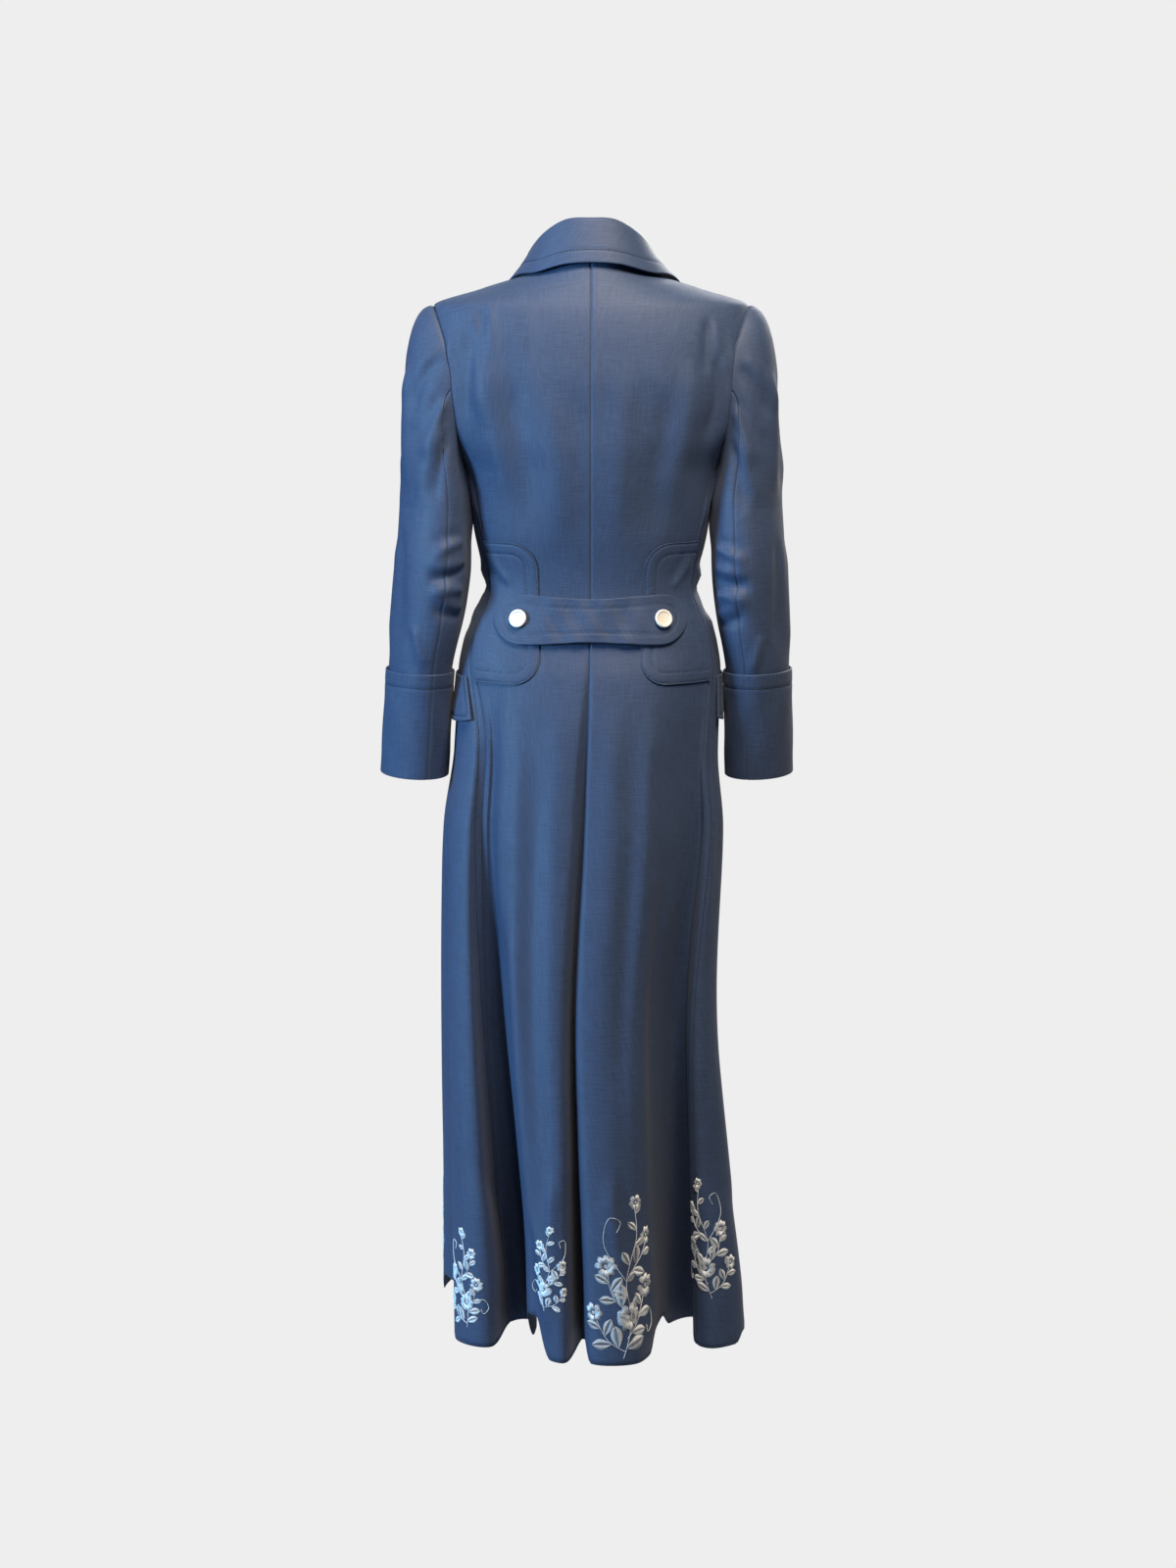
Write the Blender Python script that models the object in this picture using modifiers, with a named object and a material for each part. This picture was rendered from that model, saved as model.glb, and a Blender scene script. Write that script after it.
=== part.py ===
"""A long double-breasted coat in the shape it has when worn.

A fitted body runs without a waist seam into a skirt of deep folds with a pleat at the centre back.
Two-piece sleeves end in turned-back cuffs. A rolled collar, lapels, a buttoned half belt over two
shaped patches, hip pocket flaps and front buttons complete it. The coat is hollow and empty.

Units are metres and +Z is up. The front faces -Y and the wearer's left is +X. The origin lies midway
between the shoulder tips, where the wearer's shoulders carry the coat.
"""

from collections import namedtuple
import math

import bmesh
import bpy
import numpy as np
from mathutils import Vector

COLLECTION = "double_breasted_coat"

# Cloth
CLOTH = 0.0020
FIRM_CLOTH = 0.0024
SEAM_GAP = 0.0003
ARMHOLE_GAP = 0.0010

# Heights
BODICE_Z = -0.284
FOLD_START_Z = -0.425
HEM_Z = -1.302
NAPE_Z = 0.066
NECK_SIDE_Z = 0.045
BREAK_Z = -0.262

# Widths at the top of the front
NECK_HALF_WIDTH = 0.072
FRONT_LAP = 0.073
LAP_STEP = 0.0045
LAP_RAMP = 0.020
LAP_MARGIN = 0.026

# Horizontal sections of the cloth, from the neck to the hem
Section = namedtuple("Section", "z half_width back front power sway")
SECTIONS = (
    Section(0.066, 0.066, 0.057, 0.058, 2.0, 0.000),
    Section(0.045, 0.072, 0.070, 0.062, 2.0, 0.000),
    Section(0.022, 0.134, 0.083, 0.069, 2.0, 0.000),
    Section(0.000, 0.197, 0.095, 0.076, 2.1, 0.000),
    Section(-0.050, 0.204, 0.107, 0.094, 2.2, 0.000),
    Section(-0.100, 0.204, 0.113, 0.112, 2.2, 0.000),
    Section(-0.160, 0.183, 0.113, 0.130, 2.2, 0.000),
    Section(-0.205, 0.160, 0.109, 0.136, 2.2, 0.000),
    Section(-0.280, 0.148, 0.097, 0.122, 2.2, 0.000),
    Section(-0.350, 0.136, 0.086, 0.102, 2.2, 0.000),
    Section(-0.420, 0.161, 0.099, 0.108, 2.2, 0.001),
    Section(-0.460, 0.167, 0.110, 0.114, 2.2, 0.002),
    Section(-0.560, 0.167, 0.120, 0.122, 2.2, 0.008),
    Section(-0.660, 0.176, 0.121, 0.126, 2.2, 0.013),
    Section(-0.960, 0.162, 0.122, 0.138, 2.2, 0.034),
    Section(-1.360, 0.162, 0.125, 0.150, 2.2, 0.026),
)

# The fold lines of the skirt, once round from the centre back over the wearer's left.
# Each falls from its azimuth on the hip to its point on the hem.
Fold = namedtuple("Fold", "waist_azimuth hem_x hem_y drift", defaults=(0.0,))
FOLDS = (
    Fold(0.0, 0.010, 0.140),
    Fold(2.5, 0.030, 0.226),
    Fold(22.0, 0.062, 0.208),
    Fold(36.0, 0.0785, 0.178),
    Fold(46.5, 0.072, 0.075, -3.5),
    Fold(64.0, 0.103, 0.072, -16.0),
    Fold(72.0, 0.125, 0.167, -16.0),
    Fold(80.0, 0.173, 0.138, -10.0),
    Fold(90.0, 0.166, 0.040, -5.0),
    Fold(105.0, 0.197, -0.050, -2.0),
    Fold(122.0, 0.180, -0.130),
    Fold(138.0, 0.140, -0.213),
    Fold(152.0, 0.092, -0.180),
    Fold(165.0, 0.046, -0.225),
    Fold(180.0, 0.000, -0.212),
    Fold(195.0, -0.050, -0.226),
    Fold(208.0, -0.096, -0.180),
    Fold(222.0, -0.146, -0.212),
    Fold(238.0, -0.186, -0.130),
    Fold(255.0, -0.190, -0.040),
    Fold(270.0, -0.166, 0.040),
    Fold(280.0, -0.198, 0.130),
    Fold(288.0, -0.159, 0.173),
    Fold(296.0, -0.131, 0.150),
    Fold(303.0, -0.136, 0.056),
    Fold(313.0, -0.099, 0.085),
    Fold(329.0, -0.073, 0.203),
    Fold(344.0, -0.045, 0.236),
    Fold(358.5, 0.004, 0.226),
)
FOLD_COUNT = len(FOLDS)
FOLD_GROWTH = 1.2
DRIFT_START_Z = -0.400
DRIFT_RUN = 0.150

# Where the hem is cut away, by fold line: a bell of that half width and height
HemCut = namedtuple("HemCut", "at half_width rise")
HEM_CUTS = (
    HemCut(2.60, 0.95, 0.050),
    HemCut(8.60, 0.60, 0.030),
    HemCut(21.0, 0.45, 0.012),
    HemCut(25.4, 0.50, 0.020),
    HemCut(28.4, 0.50, 0.024),
)

# Panel seams, by fold line, and the column step of each panel
BACK_SEAM = 5
SIDE_SEAM = 10
RIGHT_SIDE_SEAM = 18
RIGHT_BACK_SEAM = 23
LEFT_LAP_END = 16
RIGHT_LAP_END = 12
FINE_STEP = 3
PLAIN_STEP = 2

# Azimuths, on either side of the body, where the panels' top edges change
NECK_AZIMUTH = 20.0
BACK_SEAM_AZIMUTH = 64.0
SIDE_SEAM_AZIMUTH = 122.0
FRONT_NECK_AZIMUTH = 158.0
FRONT_EDGE_AZIMUTH = 208.0

# Rows of each panel: skirt heights, and how many rows of seam above the waist
LOW_ROWS = (-1.20, -1.09, -0.98, -0.87, -0.77, -0.68, -0.60, -0.53)
WAIST_ROWS = (-0.467, -0.447, -0.426, -0.404, -0.383, -0.362, -0.341, -0.321, -0.301, BODICE_Z)
SEAM_ROWS = 5

# Armhole, an oval in the side view, measured round from its top over the back
ARMHOLE_DROP = 0.205
ARMHOLE_BACK = 0.066
ARMHOLE_FRONT = 0.062
ARMHOLE_BACK_SEAM = 144.0
ARMHOLE_SIDE_SEAM = 234.0
ARMHOLE_STEP = 18.0

# Sleeve rings from the upper arm to the wrist
ArmRing = namedtuple("ArmRing", "z centre_x centre_y half_width half_depth")
ARM_RINGS = (
    ArmRing(-0.250, 0.1985, 0.006, 0.0410, 0.068),
    ArmRing(-0.330, 0.2005, 0.012, 0.0440, 0.066),
    ArmRing(-0.400, 0.2055, 0.008, 0.0420, 0.063),
    ArmRing(-0.460, 0.2125, 0.000, 0.0385, 0.060),
    ArmRing(-0.595, 0.2165, -0.022, 0.0370, 0.058),
)
ARM_TILT = math.radians(18.0)
ARM_SWING = {"left": 0.011, "right": 0.0}
ARM_SWING_FROM_Z = -0.330
BICEP_Z = ARM_RINGS[0].z
SLEEVE_END_Z = -0.592
SLEEVE_COLUMNS = round(360.0 / ARMHOLE_STEP)
SLEEVE_BACK_SEAM = 90.0
SLEEVE_FRONT_SEAM = 270.0
CAP_ROWS = 7
SLEEVE_ROWS = (-0.290, -0.330, -0.370, -0.415, -0.460, -0.530, SLEEVE_END_Z)
CAP_REACH = (0.012, 0.045)
CAP_HANG = (0.012, 0.100)
CAP_OUT = (0.15, 1.00)
CAP_DOWN = (1.00, -0.05)

# Turned-back cuffs
CUFF_TOP_Z = -0.458
CUFF_END_Z = -0.595
CUFF_GAP = 0.0008
CUFF_FLARE = 0.0015
CUFF_ROWS = 4

# Collar stations from the centre back round to the front end, on one side
CollarStation = namedtuple("CollarStation", "neck_x neck_y neck_z stand edge_x edge_y edge_z")
COLLAR_STATIONS = (
    CollarStation(0.000, 0.0570, 0.0665, 0.040, 0.000, 0.0740, 0.0530),
    CollarStation(0.031, 0.0510, 0.0645, 0.040, 0.037, 0.0690, 0.0505),
    CollarStation(0.056, 0.0330, 0.0615, 0.028, 0.073, 0.0490, 0.0430),
    CollarStation(0.0715, 0.0020, 0.0495, 0.019, 0.099, 0.0130, 0.0405),
    CollarStation(0.0705, -0.0345, 0.0445, 0.014, 0.114, -0.0400, 0.0270),
    CollarStation(0.0682, -0.0610, 0.0325, 0.008, 0.115, -0.0820, 0.0060),
)
COLLAR_LEFT_REACH = 0.93
COLLAR_ROLL = 0.0050
COLLAR_ROLL_ANGLES = (180, 135, 90, 45, 10)
COLLAR_FALL_SHARES = (0.5, 1.0)
COLLAR_STEP = 3
COLLAR_LEAN = 0.20

# Lapels, in the front view: where the outer edge runs and how far they stand off
LAPEL_PEAK = (0.138, -0.040)
LAPEL_GORGE_Z = 0.000
LAPEL_GORGE_WIDTH = 0.022
LAPEL_UNDER_Z = -0.150
LAPEL_ROWS = 9
LAPEL_COLUMNS = 4
LAPEL_GAP = (0.0008, 0.0040)
LAPEL_CLEARANCE = 0.006

# Half belt on the back
BELT_HALF_LENGTH = 0.118
BELT_END_HEIGHT = 0.062
BELT_MIDDLE_HEIGHT = 0.054
BELT_Z = -0.387
BELT_GAP = (0.0031, 0.0055)
BELT_COLUMNS = 26
BELT_ROWS = 4
BELT_END_SHARE = 0.97

# Shaped patches under the belt ends
PATCH_TOP_Z = -0.291
PATCH_END_Z = -0.466
PATCH_INNER_X = (0.062, 0.067)
PATCH_CORNER = 0.034
PATCH_GAP = 0.0009
PATCH_CLOTH = 0.0014
PATCH_OUTER_AZIMUTHS = (63.2, 65.4)
PATCH_ROWS = 13
PATCH_COLUMNS = 8

# Hip pocket flaps
FLAP_AZIMUTHS = (72.0, 126.0)
FLAP_TOP_Z = -0.4615
FLAP_END_Z = -0.5200
FLAP_GAP = (0.0009, 0.0036)
FLAP_ROWS = 4
FLAP_COLUMNS = 7
FLAP_CORNER_LIFT = 0.006

# Buttons
BUTTON_RADIUS = 0.0115
BUTTON_THICKNESS = 0.0042
BUTTON_EDGE = 0.0012
BUTTON_SIDES = 20
BELT_BUTTON_SEAT = 0.0008
FRONT_BUTTON_SEAT = 0.0004
BELT_BUTTON_X = 0.0875
FRONT_BUTTON_X = 0.050
FRONT_BUTTON_ROWS = (-0.305, -0.400, -0.495)

NAVY = (0.055, 0.095, 0.200, 1.0)
WHITE = (0.86, 0.86, 0.84, 1.0)


class SmoothTable:
    """The columns of a table as smooth curves of its first column, with no overshoot."""

    def __init__(self, rows):
        ordered = np.array(sorted(rows), float)
        self.fields = rows[0]._fields
        self.knots = ordered[:, 0]
        self.values = ordered
        steps = np.diff(self.knots)[:, None]
        rises = np.diff(ordered, axis=0) / steps
        slopes = np.vstack([rises[:1], (rises[:-1] + rises[1:]) / 2, rises[-1:]])
        ahead = 2 * steps[1:] + steps[:-1]
        behind = steps[1:] + 2 * steps[:-1]
        same_way = rises[:-1] * rises[1:] > 0
        safe_low = np.where(same_way, rises[:-1], 1.0)
        safe_high = np.where(same_way, rises[1:], 1.0)
        mean = (ahead + behind) / (ahead / safe_low + behind / safe_high)
        slopes[1:-1] = np.where(same_way, mean, 0.0)
        self.slopes = slopes

    def at(self, field, where):
        """The value of one column at the given places of the first column."""
        column = self.fields.index(field)
        where = np.asarray(where, float)
        low = np.clip(np.searchsorted(self.knots, where) - 1, 0, len(self.knots) - 2)
        step = self.knots[low + 1] - self.knots[low]
        s = np.clip((where - self.knots[low]) / step, 0.0, 1.0)
        start = self.values[low, column]
        end = self.values[low + 1, column]
        start_slope = self.slopes[low, column] * step
        end_slope = self.slopes[low + 1, column] * step
        eased = s * s * (3 - 2 * s)
        bend = start_slope * s * (1 - s) ** 2 - end_slope * s * s * (1 - s)
        return start + (end - start) * eased + bend


SECTION_TABLE = SmoothTable(SECTIONS)
ARM_TABLE = SmoothTable(ARM_RINGS)
HipRow = namedtuple("HipRow", "line azimuth drift")
HIP_TABLE = SmoothTable(
    [
        HipRow(turn * FOLD_COUNT + line, fold.waist_azimuth + 360.0 * turn, fold.drift)
        for turn in (-1, 0, 1)
        for line, fold in enumerate(FOLDS)
    ]
)
HEM_POINTS = np.array([(fold.hem_x, fold.hem_y) for fold in FOLDS])


def ease(s):
    """0 to 1 with a level start and end."""
    s = np.clip(s, 0.0, 1.0)
    return s * s * (3 - 2 * s)


def mix(ends, share):
    """From the first of two values to the second."""
    return ends[0] + (ends[1] - ends[0]) * share


def unit(vectors):
    return vectors / np.linalg.norm(vectors, axis=-1, keepdims=True)


def through(points, where):
    """A smooth curve through a row of points, read at places counted in points."""
    last = len(points) - 1
    start = np.clip(np.floor(where).astype(int), 0, last - 1)
    s = (where - start)[:, None]
    before = points[np.clip(start - 1, 0, last)]
    here = points[start]
    there = points[start + 1]
    after = points[np.clip(start + 2, 0, last)]
    line = 2 * here + (there - before) * s
    curve = (2 * before - 5 * here + 4 * there - after) * s**2
    twist = (3 * here - before - 3 * there + after) * s**3
    return (line + curve + twist) / 2


def side_of(y, z):
    """The depth of the section on the side where y lies."""
    return np.where(y >= 0, SECTION_TABLE.at("back", z), SECTION_TABLE.at("front", z))


def depth_at(x, z, front):
    """How far the unfolded cloth lies from the middle plane, at a place in the front view."""
    power = SECTION_TABLE.at("power", z)
    depth = SECTION_TABLE.at("front" if front else "back", z)
    share = np.abs(x - SECTION_TABLE.at("sway", z)) / SECTION_TABLE.at("half_width", z)
    return depth * np.clip(1 - share**power, 0.0, 1.0) ** (1 / power)


def reach_at(y, z):
    """How far out the unfolded cloth lies, at a place in the side view."""
    power = SECTION_TABLE.at("power", z)
    share = np.abs(y) / side_of(y, z)
    return SECTION_TABLE.at("half_width", z) * np.clip(1 - share**power, 0.0, 1.0) ** (1 / power)


def section_point(azimuth, z):
    """A point of the unfolded cloth. Azimuth 0 is the centre back and 90 the wearer's left."""
    turn = np.radians(azimuth)
    power = 2 / SECTION_TABLE.at("power", z)
    across = np.sign(np.sin(turn)) * np.abs(np.sin(turn)) ** power
    along = np.sign(np.cos(turn)) * np.abs(np.cos(turn)) ** power
    x = SECTION_TABLE.at("half_width", z) * across + SECTION_TABLE.at("sway", z)
    y = side_of(np.cos(turn), z) * along
    return np.stack(np.broadcast_arrays(x, y, z), axis=-1)


def hem_point(line):
    """The hem's outline at a place counted in fold lines."""
    start = np.floor(line).astype(int)
    s = (line - start)[..., None]
    before, here, there, after = (HEM_POINTS[(start + k) % FOLD_COUNT] for k in (-1, 0, 1, 2))
    straight = 2 * here + (there - before) * s
    curve = (2 * before - 5 * here + 4 * there - after) * s**2
    twist = (3 * here - before - 3 * there + after) * s**3
    return (straight + curve + twist) / 2


def hem_height(line):
    """The hem's height, raised where it is cut away."""
    rise = np.zeros_like(line)
    for cut in HEM_CUTS:
        away = np.abs((line - cut.at + FOLD_COUNT / 2) % FOLD_COUNT - FOLD_COUNT / 2)
        rise = np.maximum(rise, cut.rise * ease(1.5 * (1 - away / cut.half_width)))
    return HEM_Z + rise


def skirt_point(line, z):
    """A point of the cloth below the waist: the section, drawn towards the folded hem."""
    growth = np.clip((FOLD_START_Z - z) / (FOLD_START_Z - HEM_Z), 0.0, 1.2) ** FOLD_GROWTH
    drift = HIP_TABLE.at("drift", line) * ease((DRIFT_START_Z - z) / DRIFT_RUN)
    points = section_point(HIP_TABLE.at("azimuth", line) + drift, z)
    points[..., :2] += (hem_point(line) - points[..., :2]) * growth[..., None]
    return points


def skirt_normal(line, z):
    """Outward normals of the skirt."""
    aside, up = 0.01, 0.001
    around = skirt_point(line + aside, z) - skirt_point(line - aside, z)
    rise = skirt_point(line, z + up) - skirt_point(line, z - up)
    return unit(np.cross(rise, around))


def body_normal(points):
    """Outward normals of the unfolded cloth."""

    def fullness(p):
        power = SECTION_TABLE.at("power", p[..., 2])
        x = np.abs(p[..., 0] - SECTION_TABLE.at("sway", p[..., 2]))
        wide = (x / SECTION_TABLE.at("half_width", p[..., 2])) ** power
        deep = (np.abs(p[..., 1]) / side_of(p[..., 1], p[..., 2])) ** power
        return wide + deep

    step = 0.0004
    nudges = np.eye(3) * step
    slope = [fullness(points + nudge) - fullness(points - nudge) for nudge in nudges]
    return unit(np.stack(slope, axis=-1))


def armhole(angle):
    """The armhole's edge on the wearer's left. Angle 0 is its top and 90 its back."""
    turn = np.radians(angle)
    y = np.where(np.sin(turn) >= 0, ARMHOLE_BACK, ARMHOLE_FRONT) * np.sin(turn)
    z = (np.cos(turn) - 1) * ARMHOLE_DROP / 2
    return np.stack([reach_at(y, z), y, z], axis=-1)


def roll_line(share):
    """The lapel's fold in the front view on the wearer's left, from the neck to the break."""
    return mix((NECK_HALF_WIDTH, -FRONT_LAP), share), mix((NECK_SIDE_Z, BREAK_Z), share)


def roll_line_x(z):
    """The fold's place across the front at a height."""
    return mix((NECK_HALF_WIDTH, -FRONT_LAP), np.clip((NECK_SIDE_Z - z) / (NECK_SIDE_Z - BREAK_Z), 0, 1))


def shoulder_point(share):
    """The shoulder seam, from the neck to the tip."""
    z = mix((NECK_SIDE_Z, 0.0), share)
    return np.stack([SECTION_TABLE.at("half_width", z), np.zeros_like(z), z], axis=-1)


def neck_point(share):
    """The back neck seam, from the centre to the shoulder seam."""
    turn = share * math.pi / 2
    x = NECK_HALF_WIDTH * np.sin(turn)
    z = NAPE_Z - (NAPE_Z - NECK_SIDE_Z) * (1 - np.cos(turn))
    return np.stack([x, depth_at(x, z, False), z], axis=-1)


def fold_edge_point(share):
    """The edge of the front where the lapel folds back."""
    x, z = roll_line(share)
    return np.stack([x, -depth_at(x, z, True), z], axis=-1)


def share_of(value, low, high):
    """How far a value lies from the first of two limits to the second."""
    return np.clip((value - low) / (high - low), 0.0, 1.0)


def seam_columns(azimuth, angle):
    """Columns of the cloth from the waist to the armhole, on the wearer's left."""
    foot = section_point(azimuth, np.full_like(azimuth, BODICE_Z))
    rise = np.linspace(0, 1, SEAM_ROWS + 1)[:, None, None]
    line = foot + (armhole(angle) - foot) * rise
    y, z = line[..., 1], line[..., 2]
    return np.stack([reach_at(y, z), y, z], axis=-1)


def arm_edge(azimuth, angle, top_angle):
    """A panel's edge beside the arm: up a seam from the waist, then along the armhole to its top."""
    seam = seam_columns(np.array([azimuth]), np.array([angle]))[:, 0]
    steps = round(abs(top_angle - angle) / ARMHOLE_STEP)
    return np.concatenate([seam, armhole(np.linspace(angle, top_angle, steps + 1)[1:])])


def filled(bottom, top, start, end, across):
    """The front view of a grid between its four edges, its columns spread by their share across."""
    up = np.linspace(0, 1, len(start))[:, None, None]
    across = across[:, None]
    sides = start[:, None] * (1 - across) + end[:, None] * across
    ends = bottom * (1 - up) + top * up
    near = bottom[0] * (1 - up) + top[0] * up
    far = bottom[-1] * (1 - up) + top[-1] * up
    return sides + ends - near * (1 - across) - far * across


def back_points(azimuth):
    """The back from the waist to the neck and shoulder, on the wearer's left."""
    arm = arm_edge(BACK_SEAM_AZIMUTH, ARMHOLE_BACK_SEAM, 0.0)
    middle_z = mix((BODICE_Z, NAPE_Z), arm[:, 2] / -BODICE_Z + 1)
    centre = np.zeros_like(middle_z)
    middle = np.stack([centre, depth_at(centre, middle_z, False), middle_z], axis=-1)
    neck = neck_point(share_of(azimuth, 0.0, NECK_AZIMUTH))
    shoulder = shoulder_point(share_of(azimuth, NECK_AZIMUTH, BACK_SEAM_AZIMUTH))
    top = np.where((azimuth <= NECK_AZIMUTH)[:, None], neck, shoulder)
    bottom = section_point(azimuth, np.full_like(azimuth, BODICE_Z))
    grid = filled(bottom, top, middle, arm, share_of(azimuth, 0.0, BACK_SEAM_AZIMUTH))
    grid[..., 1] = depth_at(grid[..., 0], grid[..., 2], False)
    return grid


def front_points(azimuth):
    """The front from the waist to the shoulder and the lapel's fold, on the wearer's left."""
    arm = arm_edge(SIDE_SEAM_AZIMUTH, ARMHOLE_SIDE_SEAM, 360.0)
    shoulder = shoulder_point(1 - share_of(azimuth, SIDE_SEAM_AZIMUTH, FRONT_NECK_AZIMUTH))
    fold = fold_edge_point(share_of(azimuth, FRONT_NECK_AZIMUTH, FRONT_EDGE_AZIMUTH))
    top = np.where((azimuth <= FRONT_NECK_AZIMUTH)[:, None], shoulder, fold)
    bottom = section_point(azimuth, np.full_like(azimuth, BODICE_Z))
    edge = mix((bottom[-1], top[-1]), np.linspace(0, 1, len(arm))[:, None])
    grid = filled(bottom, top, arm, edge, share_of(azimuth, SIDE_SEAM_AZIMUTH, FRONT_EDGE_AZIMUTH))
    grid[..., 1] = -depth_at(grid[..., 0], grid[..., 2], True)
    return grid


def side_points(azimuth):
    """The side from the waist to under the arm, on the wearer's left."""
    across = share_of(azimuth, BACK_SEAM_AZIMUTH, SIDE_SEAM_AZIMUTH)
    return seam_columns(azimuth, mix((ARMHOLE_BACK_SEAM, ARMHOLE_SIDE_SEAM), across))


BODICES = {"back": back_points, "side": side_points, "front": front_points}


def trimmed(points, edges, gap=SEAM_GAP):
    """The grid with its named edges drawn in by half a gap."""
    grid = points.copy()
    ways = {
        "bottom": (grid[0], points[1]),
        "top": (grid[-1], points[-2]),
        "start": (grid[:, 0], points[:, 1]),
        "end": (grid[:, -1], points[:, -2]),
    }
    for edge in edges:
        place, inward = ways[edge]
        place += unit(inward - place) * gap / 2
    return grid


def on_side(points, side):
    """A grid made for the wearer's left, or its mirror image on the right."""
    return points if side == "left" else points[:, ::-1] * np.array([-1.0, 1.0, 1.0])


def make_material(name, colour, roughness):
    material = bpy.data.materials.new(name)
    material.use_nodes = True
    shader = material.node_tree.nodes["Principled BSDF"]
    shader.inputs["Base Color"].default_value = colour
    shader.inputs["Roughness"].default_value = roughness
    material.diffuse_color = colour
    return material


def add_object(name, mesh, material):
    """An object of the coat from a mesh being edited."""
    data = bpy.data.meshes.new(name)
    mesh.to_mesh(data)
    mesh.free()
    data.materials.append(material)
    part = bpy.data.objects.new(name, data)
    bpy.data.collections[COLLECTION].objects.link(part)
    return part


def add_wall(name, outer, inner, material, closed=False):
    """A wall of cloth between two grids of points, open at its edges or closed round a tube.

    Both edges of a seam split their faces along the same diagonal, so the gap stays even.
    """
    mesh = bmesh.new()
    rows, columns = outer.shape[:2]
    out = [[mesh.verts.new(p) for p in row] for row in outer.tolist()]
    ins = [[mesh.verts.new(p) for p in row] for row in inner.tolist()]
    for c in range(columns if closed else columns - 1):
        d = (c + 1) % columns
        for r in range(rows - 1):
            mesh.faces.new((out[r][c], out[r + 1][c], out[r + 1][d], out[r][d]))
            mesh.faces.new((ins[r][d], ins[r + 1][d], ins[r + 1][c], ins[r][c]))
        mesh.faces.new((out[0][c], out[0][d], ins[0][d], ins[0][c]))
        mesh.faces.new((out[-1][c], ins[-1][c], ins[-1][d], out[-1][d]))
    if not closed:
        for r in range(rows - 1):
            mesh.faces.new((out[r][0], ins[r][0], ins[r + 1][0], out[r + 1][0]))
            mesh.faces.new((out[r][-1], out[r + 1][-1], ins[r + 1][-1], ins[r][-1]))
    return add_object(name, mesh, material)


def lap_tuck(points):
    """How far the under front lies behind the lap of the other front."""
    z = points[..., 2]
    below = skirt_point(np.full_like(z, RIGHT_LAP_END), np.minimum(z, BODICE_Z))[..., 0]
    edge = np.where(z < BREAK_Z, below, -roll_line_x(z))
    return LAP_STEP * ease((edge + LAP_MARGIN - points[..., 0]) / LAP_RAMP)


def panel_grid(name, side, start, end, step):
    """Points and normals of a body panel, from the hem up. Its top edge is that of its own side."""
    lines = np.linspace(start, end, round((end - start) * step) + 1)
    azimuth = HIP_TABLE.at("azimuth", lines)
    heights = [hem_height(lines)] + [np.full_like(lines, z) for z in LOW_ROWS + WAIST_ROWS]
    points = np.array([skirt_point(lines, z) for z in heights])
    normals = np.array([skirt_normal(lines, z) for z in heights])
    left_azimuth = azimuth if side == "left" else 360.0 - azimuth[::-1]
    bodice = on_side(BODICES[name](left_azimuth)[1:], side)
    return np.concatenate([points, bodice]), np.concatenate([normals, body_normal(bodice)])


def add_body(cloth):
    """Back, side and front panels."""
    panels = (
        ("back", "left", 0, BACK_SEAM, FINE_STEP, ("start", "end", "top")),
        ("back", "right", RIGHT_BACK_SEAM, FOLD_COUNT, FINE_STEP, ("start", "end", "top")),
        ("side", "left", BACK_SEAM, SIDE_SEAM, PLAIN_STEP, ("start", "end", "top")),
        ("side", "right", RIGHT_SIDE_SEAM, RIGHT_BACK_SEAM, PLAIN_STEP, ("start", "end", "top")),
        ("front", "left", SIDE_SEAM, LEFT_LAP_END, PLAIN_STEP, ("start", "top")),
        ("front", "right", RIGHT_LAP_END, RIGHT_SIDE_SEAM, PLAIN_STEP, ("end", "top")),
    )
    for name, side, start, end, step, seams in panels:
        points, normals = panel_grid(name, side, start, end, step)
        points = trimmed(points, seams)
        if (name, side) == ("front", "left"):
            points = points - normals * lap_tuck(points)[..., None]
        add_wall(f"{name}_{side}", points, points - normals * CLOTH, cloth)


def arm_point(angle, z, side):
    """A point of the sleeve below the armhole, on the wearer's left."""
    turn = np.radians(angle)
    out = ARM_TABLE.at("half_width", z) * np.cos(turn)
    deep = ARM_TABLE.at("half_depth", z) * np.sin(turn)
    swing = ARM_SWING[side] * np.clip((ARM_SWING_FROM_Z - z) / (ARM_SWING_FROM_Z - CUFF_END_Z), 0.0, 1.0)
    x = ARM_TABLE.at("centre_x", z) + swing + out * math.cos(ARM_TILT) - deep * math.sin(ARM_TILT)
    y = ARM_TABLE.at("centre_y", z) + out * math.sin(ARM_TILT) + deep * math.cos(ARM_TILT)
    return np.stack(np.broadcast_arrays(x, y, z), axis=-1)


def sleeve_point(angle, down, side):
    """A point of the sleeve: down is 0 at the armhole, 1 at the upper arm and 2 at the cuff's end."""
    high = (1 + np.cos(np.radians(angle))) / 2
    edge = armhole(angle)
    foot = arm_point(angle, np.full_like(angle, BICEP_Z), side)
    way = np.stack([mix(CAP_OUT, high), np.zeros_like(high), -mix(CAP_DOWN, high)], axis=-1)
    lead = edge + unit(way) * mix(CAP_REACH, high)[..., None]
    hang = foot + mix(CAP_HANG, high)[..., None] * np.array([0.0, 0.0, 1.0])
    s = np.clip(down, 0.0, 1.0)[..., None]
    cap = edge * (1 - s) ** 3 + 3 * lead * s * (1 - s) ** 2 + 3 * hang * s**2 * (1 - s) + foot * s**3
    arm = arm_point(angle, mix((BICEP_Z, CUFF_END_Z), np.clip(down - 1, 0.0, 1.0)), side)
    return np.where(down[..., None] <= 1, cap, arm)


def sleeve_normal(angle, down, side):
    """Outward normals of the sleeve."""
    aside, along = 0.5, 0.01
    around = sleeve_point(angle - aside, down, side) - sleeve_point(angle + aside, down, side)
    above = sleeve_point(angle, np.maximum(down - along, 0.0), side)
    rise = above - sleeve_point(angle, np.minimum(down + along, 2.0), side)
    return unit(np.cross(rise, around))


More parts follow.
